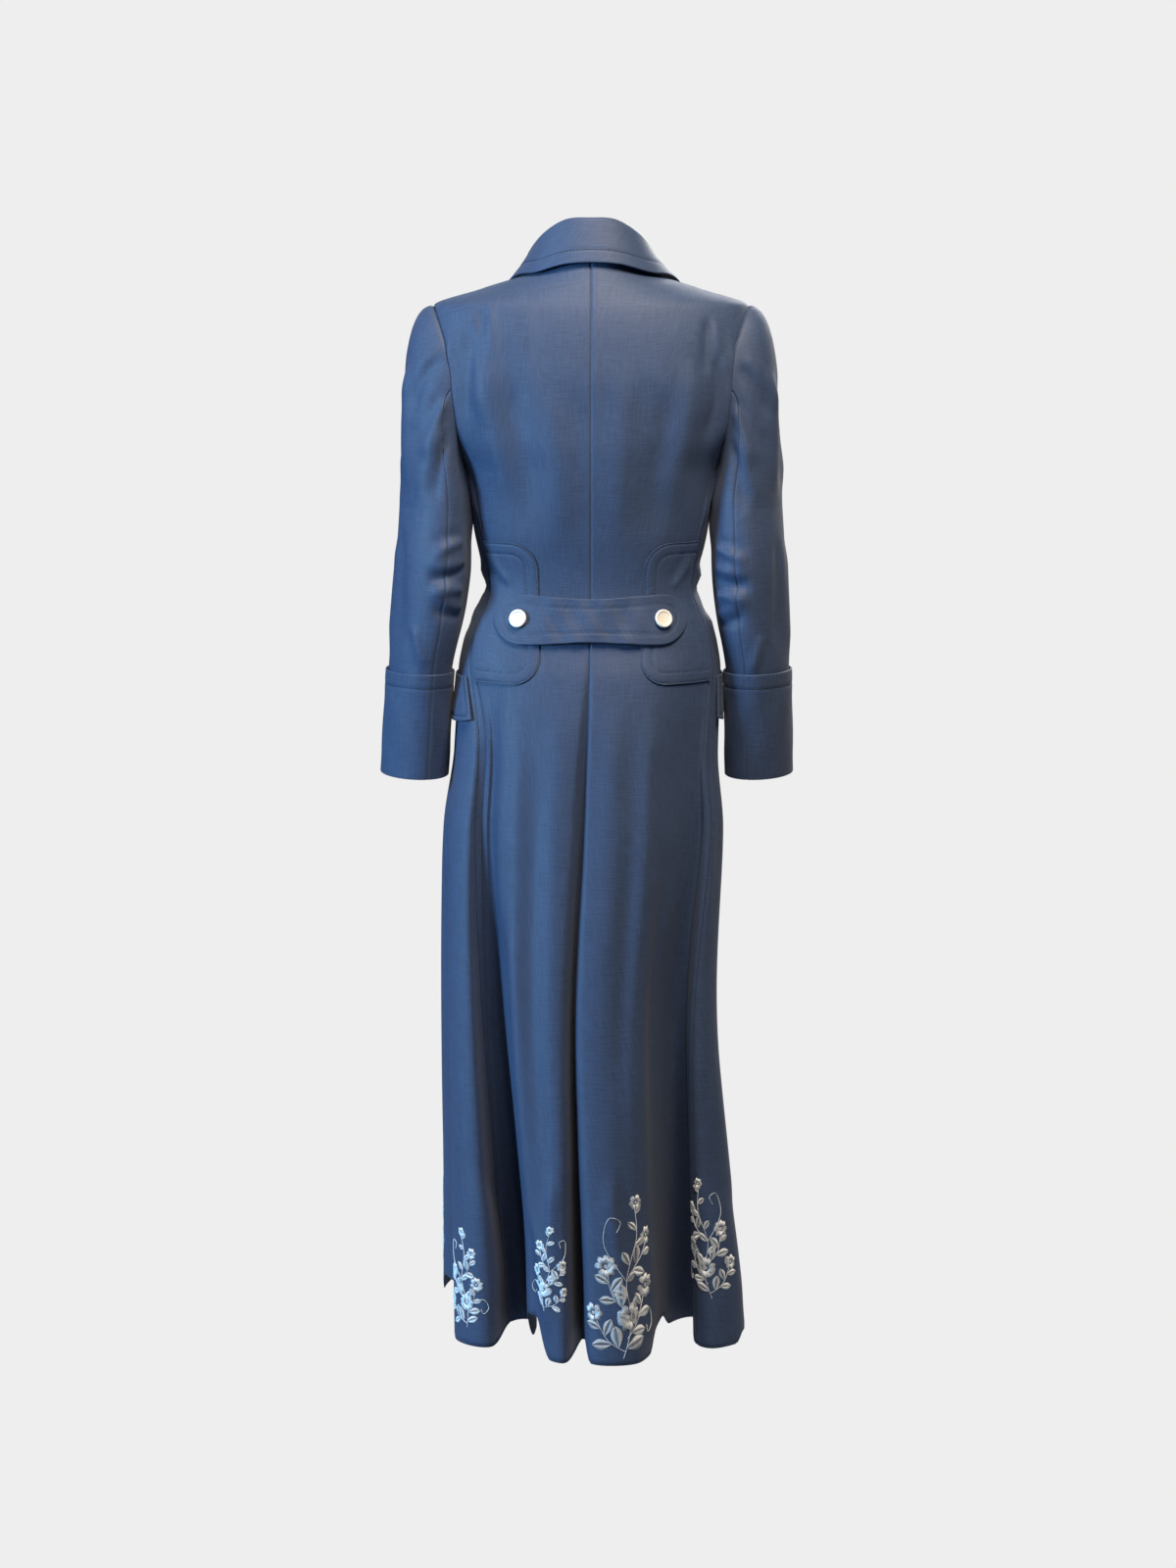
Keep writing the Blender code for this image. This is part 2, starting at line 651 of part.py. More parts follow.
def sleeve_grid(angles, downs, side):
    """Points and normals of a stretch of sleeve, its rows given from the bottom up."""
    angle, down = np.meshgrid(angles, downs)
    return sleeve_point(angle, down, side), sleeve_normal(angle, down, side)


def arm_share(z):
    """A sleeve height as the sleeve's own measure."""
    return 1 + (BICEP_Z - z) / (BICEP_Z - CUFF_END_Z)


def add_sleeve(side, cloth):
    """Upper and under sleeve, joined by a seam at the back and one at the front."""
    low = arm_share(np.array(SLEEVE_ROWS[::-1]))
    downs = np.concatenate([low, np.linspace(1, 0, CAP_ROWS + 1)])
    spans = (
        ("sleeve_upper", SLEEVE_BACK_SEAM, SLEEVE_FRONT_SEAM - 360.0),
        ("sleeve_under", SLEEVE_FRONT_SEAM, SLEEVE_BACK_SEAM),
    )
    for name, start, end in spans:
        columns = round((start - end) / 360.0 * SLEEVE_COLUMNS) + 1
        points, normals = sleeve_grid(np.linspace(start, end, columns), downs, side)
        points = trimmed(trimmed(points, ("start", "end")), ("top",), ARMHOLE_GAP)
        inner = points - normals * CLOTH
        add_wall(f"{name}_{side}", on_side(points, side), on_side(inner, side), cloth)


def add_cuff(side, cloth):
    """A turned-back cuff round the end of the sleeve."""
    angles = np.arange(SLEEVE_COLUMNS) * -360.0 / SLEEVE_COLUMNS
    rows = np.linspace(CUFF_END_Z, CUFF_TOP_Z, CUFF_ROWS)
    points, normals = sleeve_grid(angles, arm_share(rows), side)
    stand = CUFF_GAP + CUFF_FLARE * np.linspace(1, 0, CUFF_ROWS)[:, None, None]
    inner = points + normals * stand
    outer = inner + normals * FIRM_CLOTH
    add_wall(f"cuff_{side}", on_side(outer, side), on_side(inner, side), cloth, closed=True)


def collar_profile(neck, stand, edge):
    """The collar's section: up the stand, over the roll and down the fall."""
    flat = np.array([1.0, 1.0, 0.0])
    out = unit((edge - neck) * flat)
    up = np.broadcast_to(np.array([0.0, 0.0, 1.0]), neck.shape)
    top = neck - out * (stand * COLLAR_LEAN)[:, None] + up * (stand - COLLAR_ROLL)[:, None]
    centre = top + out * COLLAR_ROLL
    rows = [neck, (neck + top) / 2]
    for angle in COLLAR_ROLL_ANGLES:
        turn = math.radians(angle)
        rows.append(centre + COLLAR_ROLL * (math.cos(turn) * out + math.sin(turn) * up))
    for share in COLLAR_FALL_SHARES:
        rows.append(rows[1 + len(COLLAR_ROLL_ANGLES)] * (1 - share) + edge * share)
    return np.array(rows)


def add_collar(cloth):
    """The collar, one cloth folded over round the neck."""
    half = np.array(COLLAR_STATIONS)
    other = half[:0:-1].copy()
    other[:, [0, 4]] *= -1
    half[:, 4] *= COLLAR_LEFT_REACH
    stations = np.concatenate([half[::-1], other[::-1]])
    places = np.linspace(0, len(stations) - 1, (len(stations) - 1) * COLLAR_STEP + 1)
    smooth = through(stations, places)
    points = collar_profile(smooth[:, 0:3], smooth[:, 3], smooth[:, 4:7])
    normals = unit(np.cross(np.gradient(points, axis=0), np.gradient(points, axis=1)))
    add_wall("collar", points + normals * FIRM_CLOTH / 2, points - normals * FIRM_CLOTH / 2, cloth)


def add_lapel(side, cloth):
    """A lapel folded back on the front. The under front's lapel stops at the other front's edge."""
    lowest = LAPEL_UNDER_Z if side == "left" else BREAK_Z + LAPEL_CLEARANCE
    z = np.linspace(lowest, LAPEL_GORGE_Z, LAPEL_ROWS)
    fold = roll_line_x(z)
    inside = (np.maximum(fold, -fold) if side == "left" else fold) + LAPEL_CLEARANCE
    tip = LAPEL_GORGE_WIDTH + roll_line_x(LAPEL_GORGE_Z)
    outside = np.interp(z, (BREAK_Z, LAPEL_PEAK[1], LAPEL_GORGE_Z), (-FRONT_LAP, LAPEL_PEAK[0], tip))
    outside = np.maximum(outside, inside + LAPEL_CLEARANCE)
    share = np.linspace(1, 0, LAPEL_COLUMNS)
    x = inside[:, None] + (outside - inside)[:, None] * share
    heights = np.broadcast_to(z[:, None], x.shape)
    points = np.stack([x, -depth_at(x, heights, True), heights], axis=-1)
    normals = body_normal(points)
    inner = points + normals * mix(LAPEL_GAP, ease(2 * share))[:, None]
    outer = inner + normals * CLOTH
    add_wall(f"lapel_{side}", on_side(outer, side), on_side(inner, side), cloth)


def line_at(azimuth):
    """The fold-line count at an azimuth of the hip."""
    lines = np.linspace(-FOLD_COUNT / 2, FOLD_COUNT * 1.5, 6000)
    return np.interp(azimuth, HIP_TABLE.at("azimuth", lines), lines)


def azimuth_at(x, z, front=False):
    """The azimuth of a place in the front view."""
    share = (np.abs(x) / SECTION_TABLE.at("half_width", z)) ** (SECTION_TABLE.at("power", z) / 2)
    azimuth = np.degrees(np.arcsin(np.clip(share, 0.0, 1.0)))
    azimuth = 180.0 - azimuth if front else azimuth
    return np.where(x < 0, (360.0 if front else 0.0) - azimuth, azimuth)


def laid_on(azimuth, z, gap, thickness):
    """Inner and outer points of a piece that lies on the body."""
    line = line_at(azimuth)
    points = skirt_point(line, z)
    normals = skirt_normal(line, z)
    inner = points + normals * np.asarray(gap)[..., None]
    return inner, inner + normals * thickness


def belt_gap(x):
    """The half belt stands off most at the centre back."""
    return mix(BELT_GAP, 1 - (x / BELT_HALF_LENGTH) ** 2)


def add_half_belt(cloth):
    """The half belt, with round ends."""
    x = BELT_HALF_LENGTH * np.sin(np.linspace(-1, 1, BELT_COLUMNS + 1) * math.pi / 2)
    radius = BELT_END_HEIGHT / 2
    past = np.clip(np.abs(x) - (BELT_HALF_LENGTH - radius), 0.0, radius * BELT_END_SHARE)
    height = mix((BELT_MIDDLE_HEIGHT, BELT_END_HEIGHT), ease(np.abs(x) / (BELT_HALF_LENGTH - radius))) / 2
    height = height * np.sqrt(1 - (past / radius) ** 2)
    z = BELT_Z + height * np.linspace(-1, 1, BELT_ROWS)[:, None]
    x = np.broadcast_to(x, z.shape)
    inner, outer = laid_on(azimuth_at(x, z), z, belt_gap(x), FIRM_CLOTH)
    add_wall("half_belt", outer, inner, cloth)


def add_belt_patch(side, cloth):
    """A shaped patch from the back seam to under the belt's end, with two round corners."""
    rise = (1 + np.sin(np.linspace(-1, 1, PATCH_ROWS) * math.pi / 2)) / 2
    z = mix((PATCH_END_Z, PATCH_TOP_Z), rise)
    near_end = np.minimum(z - PATCH_END_Z, PATCH_TOP_Z - z)
    from_corner = np.clip(PATCH_CORNER - near_end, 0.0, PATCH_CORNER)
    rounding = PATCH_CORNER - np.sqrt(PATCH_CORNER**2 - from_corner**2)
    inside = azimuth_at(mix(PATCH_INNER_X, rise) + rounding, z)
    outside = mix(PATCH_OUTER_AZIMUTHS, rise)
    azimuth = inside[:, None] + (outside - inside)[:, None] * np.linspace(0, 1, PATCH_COLUMNS)
    if side == "right":
        azimuth = -azimuth[:, ::-1]
    heights = np.broadcast_to(z[:, None], azimuth.shape)
    inner, outer = laid_on(azimuth, heights, PATCH_GAP, PATCH_CLOTH)
    add_wall(f"belt_patch_{side}", outer, inner, cloth)


def add_pocket_flap(side, cloth):
    """A hip pocket flap that stands off at its free edge."""
    azimuth = np.linspace(*FLAP_AZIMUTHS, FLAP_COLUMNS)
    if side == "right":
        azimuth = 360.0 - azimuth[::-1]
    share = np.linspace(-1, 1, FLAP_COLUMNS)
    foot = FLAP_END_Z + FLAP_CORNER_LIFT * share**4
    rise = np.linspace(0, 1, FLAP_ROWS)[:, None]
    z = foot + (FLAP_TOP_Z - foot) * rise
    gap = np.broadcast_to(mix(FLAP_GAP, 1 - rise), z.shape)
    inner, outer = laid_on(np.broadcast_to(azimuth, z.shape), z, gap, FIRM_CLOTH)
    add_wall(f"pocket_flap_{side}", outer, inner, cloth)


def add_button(name, x, z, front, stand, material):
    """A round button on the cloth, standing off by the layers beneath it."""
    line = line_at(azimuth_at(x, z, front))
    normal = skirt_normal(line, z)
    middle = skirt_point(line, z) + normal * (stand + BUTTON_THICKNESS / 2)
    mesh = bmesh.new()
    bmesh.ops.create_cone(
        mesh,
        cap_ends=True,
        segments=BUTTON_SIDES,
        radius1=BUTTON_RADIUS,
        radius2=BUTTON_RADIUS,
        depth=BUTTON_THICKNESS,
    )
    button = add_object(name, mesh, material)
    button.location = middle
    button.rotation_mode = "QUATERNION"
    button.rotation_quaternion = Vector(normal).to_track_quat("Z", "Y")
    bevel = button.modifiers.new("rounded_edge", "BEVEL")
    bevel.width = BUTTON_EDGE
    bevel.segments = 1
    bevel.limit_method = "ANGLE"


def add_buttons(material):
    """Two buttons on the half belt and two columns on the front."""
    on_belt = belt_gap(BELT_BUTTON_X) + FIRM_CLOTH + BELT_BUTTON_SEAT
    for side, x in (("left", BELT_BUTTON_X), ("right", -BELT_BUTTON_X)):
        add_button(f"belt_button_{side}", np.float64(x), np.float64(BELT_Z), False, on_belt, material)
    for row, z in enumerate(FRONT_BUTTON_ROWS, 1):
        for side, x in (("left", FRONT_BUTTON_X), ("right", -FRONT_BUTTON_X)):
            name = f"front_button_{side}_{row}"
            add_button(name, np.float64(x), np.float64(z), True, FRONT_BUTTON_SEAT, material)


def main():
    for old in list(bpy.data.objects):
        bpy.data.objects.remove(old)
    bpy.context.scene.collection.children.link(bpy.data.collections.new(COLLECTION))
    cloth = make_material("navy_cloth", NAVY, 0.6)
    add_body(cloth)
    for side in ("left", "right"):
        add_sleeve(side, cloth)
        add_cuff(side, cloth)
        add_lapel(side, cloth)
        add_belt_patch(side, cloth)
        add_pocket_flap(side, cloth)
    add_collar(cloth)
    add_half_belt(cloth)
    add_buttons(make_material("white_button", WHITE, 0.35))


main()
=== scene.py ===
"""The looks of a long double-breasted coat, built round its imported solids.

Each cloth piece is a thin shell on the form of its solid, with creases, seams and stitches.
Units are metres and +Z is up. The back faces +Y and the wearer's left is +X.
"""

from collections import namedtuple
import math

import bpy
import numpy as np
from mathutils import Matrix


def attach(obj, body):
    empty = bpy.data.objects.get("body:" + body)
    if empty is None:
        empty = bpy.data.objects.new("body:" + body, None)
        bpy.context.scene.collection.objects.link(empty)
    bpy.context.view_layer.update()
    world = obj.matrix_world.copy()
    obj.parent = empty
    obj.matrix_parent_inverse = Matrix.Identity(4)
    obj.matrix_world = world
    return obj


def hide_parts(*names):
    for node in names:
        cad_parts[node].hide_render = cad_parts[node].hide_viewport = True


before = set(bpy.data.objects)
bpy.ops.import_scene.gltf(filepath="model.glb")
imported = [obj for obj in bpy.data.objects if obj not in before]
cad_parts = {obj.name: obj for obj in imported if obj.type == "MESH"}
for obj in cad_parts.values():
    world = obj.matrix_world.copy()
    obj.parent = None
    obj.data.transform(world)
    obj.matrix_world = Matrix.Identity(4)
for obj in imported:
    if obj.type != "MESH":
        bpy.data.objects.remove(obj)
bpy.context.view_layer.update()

# Cloth
CLOTH = 0.0020
FIRM_CLOTH = 0.0024

# Heights
BODICE_Z = -0.284
FOLD_START_Z = -0.425
HEM_Z = -1.302
NAPE_Z = 0.066
NECK_SIDE_Z = 0.045
BREAK_Z = -0.262

# Widths at the top of the front
NECK_HALF_WIDTH = 0.072
FRONT_LAP = 0.073
LAP_STEP = 0.0045
LAP_RAMP = 0.020
LAP_MARGIN = 0.026

# Horizontal sections of the cloth, from the neck to the hem
Section = namedtuple("Section", "z half_width back front power sway")
SECTIONS = (
    Section(0.066, 0.066, 0.057, 0.058, 2.0, 0.000),
    Section(0.045, 0.072, 0.070, 0.062, 2.0, 0.000),
    Section(0.022, 0.134, 0.083, 0.069, 2.0, 0.000),
    Section(0.000, 0.197, 0.095, 0.076, 2.1, 0.000),
    Section(-0.050, 0.204, 0.107, 0.094, 2.2, 0.000),
    Section(-0.100, 0.204, 0.113, 0.112, 2.2, 0.000),
    Section(-0.160, 0.183, 0.113, 0.130, 2.2, 0.000),
    Section(-0.205, 0.160, 0.109, 0.136, 2.2, 0.000),
    Section(-0.280, 0.148, 0.097, 0.122, 2.2, 0.000),
    Section(-0.350, 0.136, 0.086, 0.102, 2.2, 0.000),
    Section(-0.420, 0.161, 0.099, 0.108, 2.2, 0.001),
    Section(-0.460, 0.167, 0.110, 0.114, 2.2, 0.002),
    Section(-0.560, 0.167, 0.120, 0.122, 2.2, 0.008),
    Section(-0.660, 0.176, 0.121, 0.126, 2.2, 0.013),
    Section(-0.960, 0.162, 0.122, 0.138, 2.2, 0.034),
    Section(-1.360, 0.162, 0.125, 0.150, 2.2, 0.026),
)

# The fold lines of the skirt, once round from the centre back over the wearer's left.
# Drift is how many degrees a line turns round the body below the waist.
Fold = namedtuple("Fold", "waist_azimuth hem_x hem_y drift", defaults=(0.0,))
FOLDS = (
    Fold(0.0, 0.010, 0.140),
    Fold(2.5, 0.030, 0.226),
    Fold(22.0, 0.062, 0.208),
    Fold(36.0, 0.0785, 0.178),
    Fold(46.5, 0.072, 0.075, -3.5),
    Fold(64.0, 0.103, 0.072, -16.0),
    Fold(72.0, 0.125, 0.167, -16.0),
    Fold(80.0, 0.173, 0.138, -10.0),
    Fold(90.0, 0.166, 0.040, -5.0),
    Fold(105.0, 0.197, -0.050, -2.0),
    Fold(122.0, 0.180, -0.130),
    Fold(138.0, 0.140, -0.213),
    Fold(152.0, 0.092, -0.180),
    Fold(165.0, 0.046, -0.225),
    Fold(180.0, 0.000, -0.212),
    Fold(195.0, -0.050, -0.226),
    Fold(208.0, -0.096, -0.180),
    Fold(222.0, -0.146, -0.212),
    Fold(238.0, -0.186, -0.130),
    Fold(255.0, -0.190, -0.040),
    Fold(270.0, -0.166, 0.040),
    Fold(280.0, -0.198, 0.130),
    Fold(288.0, -0.159, 0.173),
    Fold(296.0, -0.131, 0.150),
    Fold(303.0, -0.136, 0.056),
    Fold(313.0, -0.099, 0.085),
    Fold(329.0, -0.073, 0.203),
    Fold(344.0, -0.045, 0.236),
    Fold(358.5, 0.004, 0.226),
)
FOLD_COUNT = len(FOLDS)
FOLD_GROWTH = 1.2
FOLD_GROWTH_LIMIT = 1.2
DRIFT_START_Z = -0.400
DRIFT_RUN = 0.150

# Where the hem is cut away, by fold line: a bell of that half width and height
HemCut = namedtuple("HemCut", "at half_width rise")
HEM_CUTS = (
    HemCut(2.60, 0.95, 0.050),
    HemCut(8.60, 0.60, 0.030),
    HemCut(21.0, 0.45, 0.012),
    HemCut(25.4, 0.50, 0.020),
    HemCut(28.4, 0.50, 0.024),
)
HEM_CUT_STEEPNESS = 1.5

# Panel seams, by fold line
BACK_SEAM = 5
SIDE_SEAM = 10
RIGHT_SIDE_SEAM = 18
RIGHT_BACK_SEAM = 23
LEFT_LAP_END = 16
RIGHT_LAP_END = 12

# Azimuths, on either side of the body, where the panels' top edges change
NECK_AZIMUTH = 20.0
BACK_SEAM_AZIMUTH = 64.0
SIDE_SEAM_AZIMUTH = 122.0
FRONT_NECK_AZIMUTH = 158.0
FRONT_EDGE_AZIMUTH = 208.0

# Armhole, an oval in the side view, measured round from its top over the back
ARMHOLE_DROP = 0.205
ARMHOLE_BACK = 0.066
ARMHOLE_FRONT = 0.062
ARMHOLE_BACK_SEAM = 144.0
ARMHOLE_SIDE_SEAM = 234.0

# Sleeve rings from the upper arm to the wrist
ArmRing = namedtuple("ArmRing", "z centre_x centre_y half_width half_depth")
ARM_RINGS = (
    ArmRing(-0.250, 0.1985, 0.006, 0.0410, 0.068),
    ArmRing(-0.330, 0.2005, 0.012, 0.0440, 0.066),
    ArmRing(-0.400, 0.2055, 0.008, 0.0420, 0.063),
    ArmRing(-0.460, 0.2125, 0.000, 0.0385, 0.060),
    ArmRing(-0.595, 0.2165, -0.022, 0.0370, 0.058),
)
ARM_TILT = math.radians(18.0)
ARM_SWING = {"left": 0.011, "right": 0.0}
ARM_SWING_FROM_Z = -0.330
BICEP_Z = ARM_RINGS[0].z
SLEEVE_END_Z = -0.592
SLEEVE_BACK_SEAM = 90.0
SLEEVE_FRONT_SEAM = 270.0
CAP_REACH = (0.012, 0.045)
CAP_HANG = (0.012, 0.100)
CAP_OUT = (0.15, 1.00)
CAP_DOWN = (1.00, -0.05)

# Turned-back cuffs
CUFF_TOP_Z = -0.458
CUFF_END_Z = -0.595
CUFF_GAP = 0.0008
CUFF_FLARE = 0.0015
CUFF_LIFT = 0.0006
CUFF_SEAM_SHARE = 0.6

# Collar stations from the centre back round to the front end, on one side
CollarStation = namedtuple("CollarStation", "neck_x neck_y neck_z stand edge_x edge_y edge_z")
COLLAR_STATIONS = (
    CollarStation(0.000, 0.0570, 0.0665, 0.040, 0.000, 0.0740, 0.0530),
    CollarStation(0.031, 0.0510, 0.0645, 0.040, 0.037, 0.0690, 0.0505),
    CollarStation(0.056, 0.0330, 0.0615, 0.028, 0.073, 0.0490, 0.0410),
    CollarStation(0.0715, 0.0020, 0.0495, 0.019, 0.099, 0.0130, 0.0375),
    CollarStation(0.0705, -0.0345, 0.0445, 0.014, 0.114, -0.0400, 0.0250),
    CollarStation(0.0682, -0.0610, 0.0325, 0.008, 0.115, -0.0820, 0.0060),
)
COLLAR_MIRROR = CollarStation(-1, 1, 1, 1, -1, 1, 1)
COLLAR_LEFT_REACH = 0.93
COLLAR_ROLL = 0.0050
COLLAR_LEAN = 0.20
COLLAR_ROLL_END = 10

# Lapels, in the front view: where the outer edge runs and how far they stand off
LAPEL_PEAK = (0.138, -0.040)
LAPEL_GORGE_Z = 0.000
LAPEL_GORGE_WIDTH = 0.022
LAPEL_UNDER_Z = -0.150
LAPEL_GAP = (0.0008, 0.0040)
LAPEL_CLEARANCE = 0.006

# Half belt on the back
BELT_HALF_LENGTH = 0.118
BELT_END_HEIGHT = 0.062
BELT_MIDDLE_HEIGHT = 0.054
BELT_Z = -0.387
BELT_GAP = (0.0031, 0.0055)
BELT_TIP = 0.0012

# Shaped patches under the belt ends
PATCH_TOP_Z = -0.291
PATCH_END_Z = -0.466
PATCH_INNER_X = (0.062, 0.067)
PATCH_CORNER = 0.034
PATCH_GAP = 0.0009
PATCH_CLOTH = 0.0014
PATCH_OUTER_AZIMUTHS = (63.2, 65.4)
PATCH_LINE_STOP = 1.0

# Hip pocket flaps
FLAP_AZIMUTHS = (72.0, 126.0)
FLAP_TOP_Z = -0.4615
FLAP_END_Z = -0.5200
FLAP_GAP = (0.0009, 0.0036)
FLAP_CORNER_LIFT = 0.006

# Buttons
BUTTON_RADIUS = 0.0115
BUTTON_THICKNESS = 0.0042
BELT_BUTTON_SEAT = 0.0008
FRONT_BUTTON_SEAT = 0.0004
BELT_BUTTON_X = 0.0875
FRONT_BUTTON_X = 0.050
FRONT_BUTTON_ROWS = (-0.305, -0.400, -0.495)
BUTTON_SIDES = 48

# A button's section, as shares of its radius and of its thickness
BUTTON_PROFILE = (
    (0.00, 0.62), (0.22, 0.64), (0.44, 0.68), (0.60, 0.72), (0.68, 0.76), (0.74, 0.90),
    (0.80, 0.97), (0.88, 1.00), (0.95, 0.92), (0.99, 0.76), (1.00, 0.55), (0.98, 0.30), (0.90, 0.10),
    (0.78, 0.00),
)

# Mesh steps of the shells
BODY_STEP = 0.0038
LINE_WIDTH = 0.045
SKIRT_ROWS = 152
SEAM_ROWS = 26
ARMHOLE_STEP = 4.5
SLEEVE_STEP = 0.0034
SMALL_STEP = 0.0024
EDGE_STEPS = (0.0, 0.0004, 0.0009, 0.0016, 0.0026, 0.0040)
COLLAR_STAND_ROWS = 12
COLLAR_ROLL_ROWS = 16
BELT_LINE_POINTS = 160
PATCH_LINE_POINTS = 120
PATCH_END_POINTS = 20
FOLD_LINE_SAMPLES = 6000

# Rough lengths that set how many mesh steps a piece gets
CAP_LENGTH = 0.24
CUFF_GIRTH = 0.36
COLLAR_LENGTH = 0.46
COLLAR_FALL = 0.06
LAPEL_WIDTH = 0.11
BELT_LENGTH = 0.30
PATCH_LENGTH = 0.22
PATCH_WIDTH = 0.085
FLAP_LENGTH = 0.14

# Seams and stitches
SEAM_DROP = 0.0013
SEAM_WIDTH = 0.0036
ROUND = 0.0014
ROUND_SHARE = 0.94
ARMHOLE_ALLOWANCE = 0.0070
ALLOWANCE_DEPTH = 0.0045
NECK_ALLOWANCE = 0.0080
GROOVE_DEPTH = 0.0009
GROOVE_WIDTH = 0.0014
STITCH_LENGTH = 0.0034
STITCH_GAP = 0.0009
STITCH_WIDTH = 0.00055
STITCH_HEIGHT = 0.00030
STITCH_POINTS = 4
STITCH_ARCH = (0.3, 1.0)
STRAND_TAPER = 0.16
SEAM_STITCH = 0.0090
COLLAR_STITCH = 0.0165
LAPEL_STITCH = 0.0120
CUFF_STITCH = 0.0180
BELT_STITCH = 0.0125
PATCH_STITCH = 0.0140
PATCH_EDGE_STITCH = 0.0018
FLAP_STITCH = 0.0070

# Mesh rows that a line of stitches leaves out at its two ends
SEAM_TRIM = (2, 8)
COLLAR_TRIM = (14, 14)
LAPEL_TRIM = (24, 12)
FLAP_FOOT_TRIM = (6, 6)
FLAP_END_TRIM = (6, 2)

# Soft waves of the smaller pieces: heights, and radians to each unit along the piece and up it
Wave = namedtuple("Wave", "height along up phase")
CUFF_WAVES = (Wave(0.0006, 3, 0, math.radians(40.0)), Wave(0.0005, 5, 9, 0.0))
CUFF_WAVE_FADE = 0.3
BELT_WAVES = (Wave(0.0008, 95, 60, 0.0), Wave(0.0006, 210, -130, 1.0))
BELT_WAVE_END = 0.075
BELT_WAVE_FADE = 0.03
BELT_DIMPLE = 0.0009
BELT_DIMPLE_RADII = (0.011, 0.012)
FLAP_WAVES = (Wave(0.0009, 9, 0, math.radians(30.0)),)

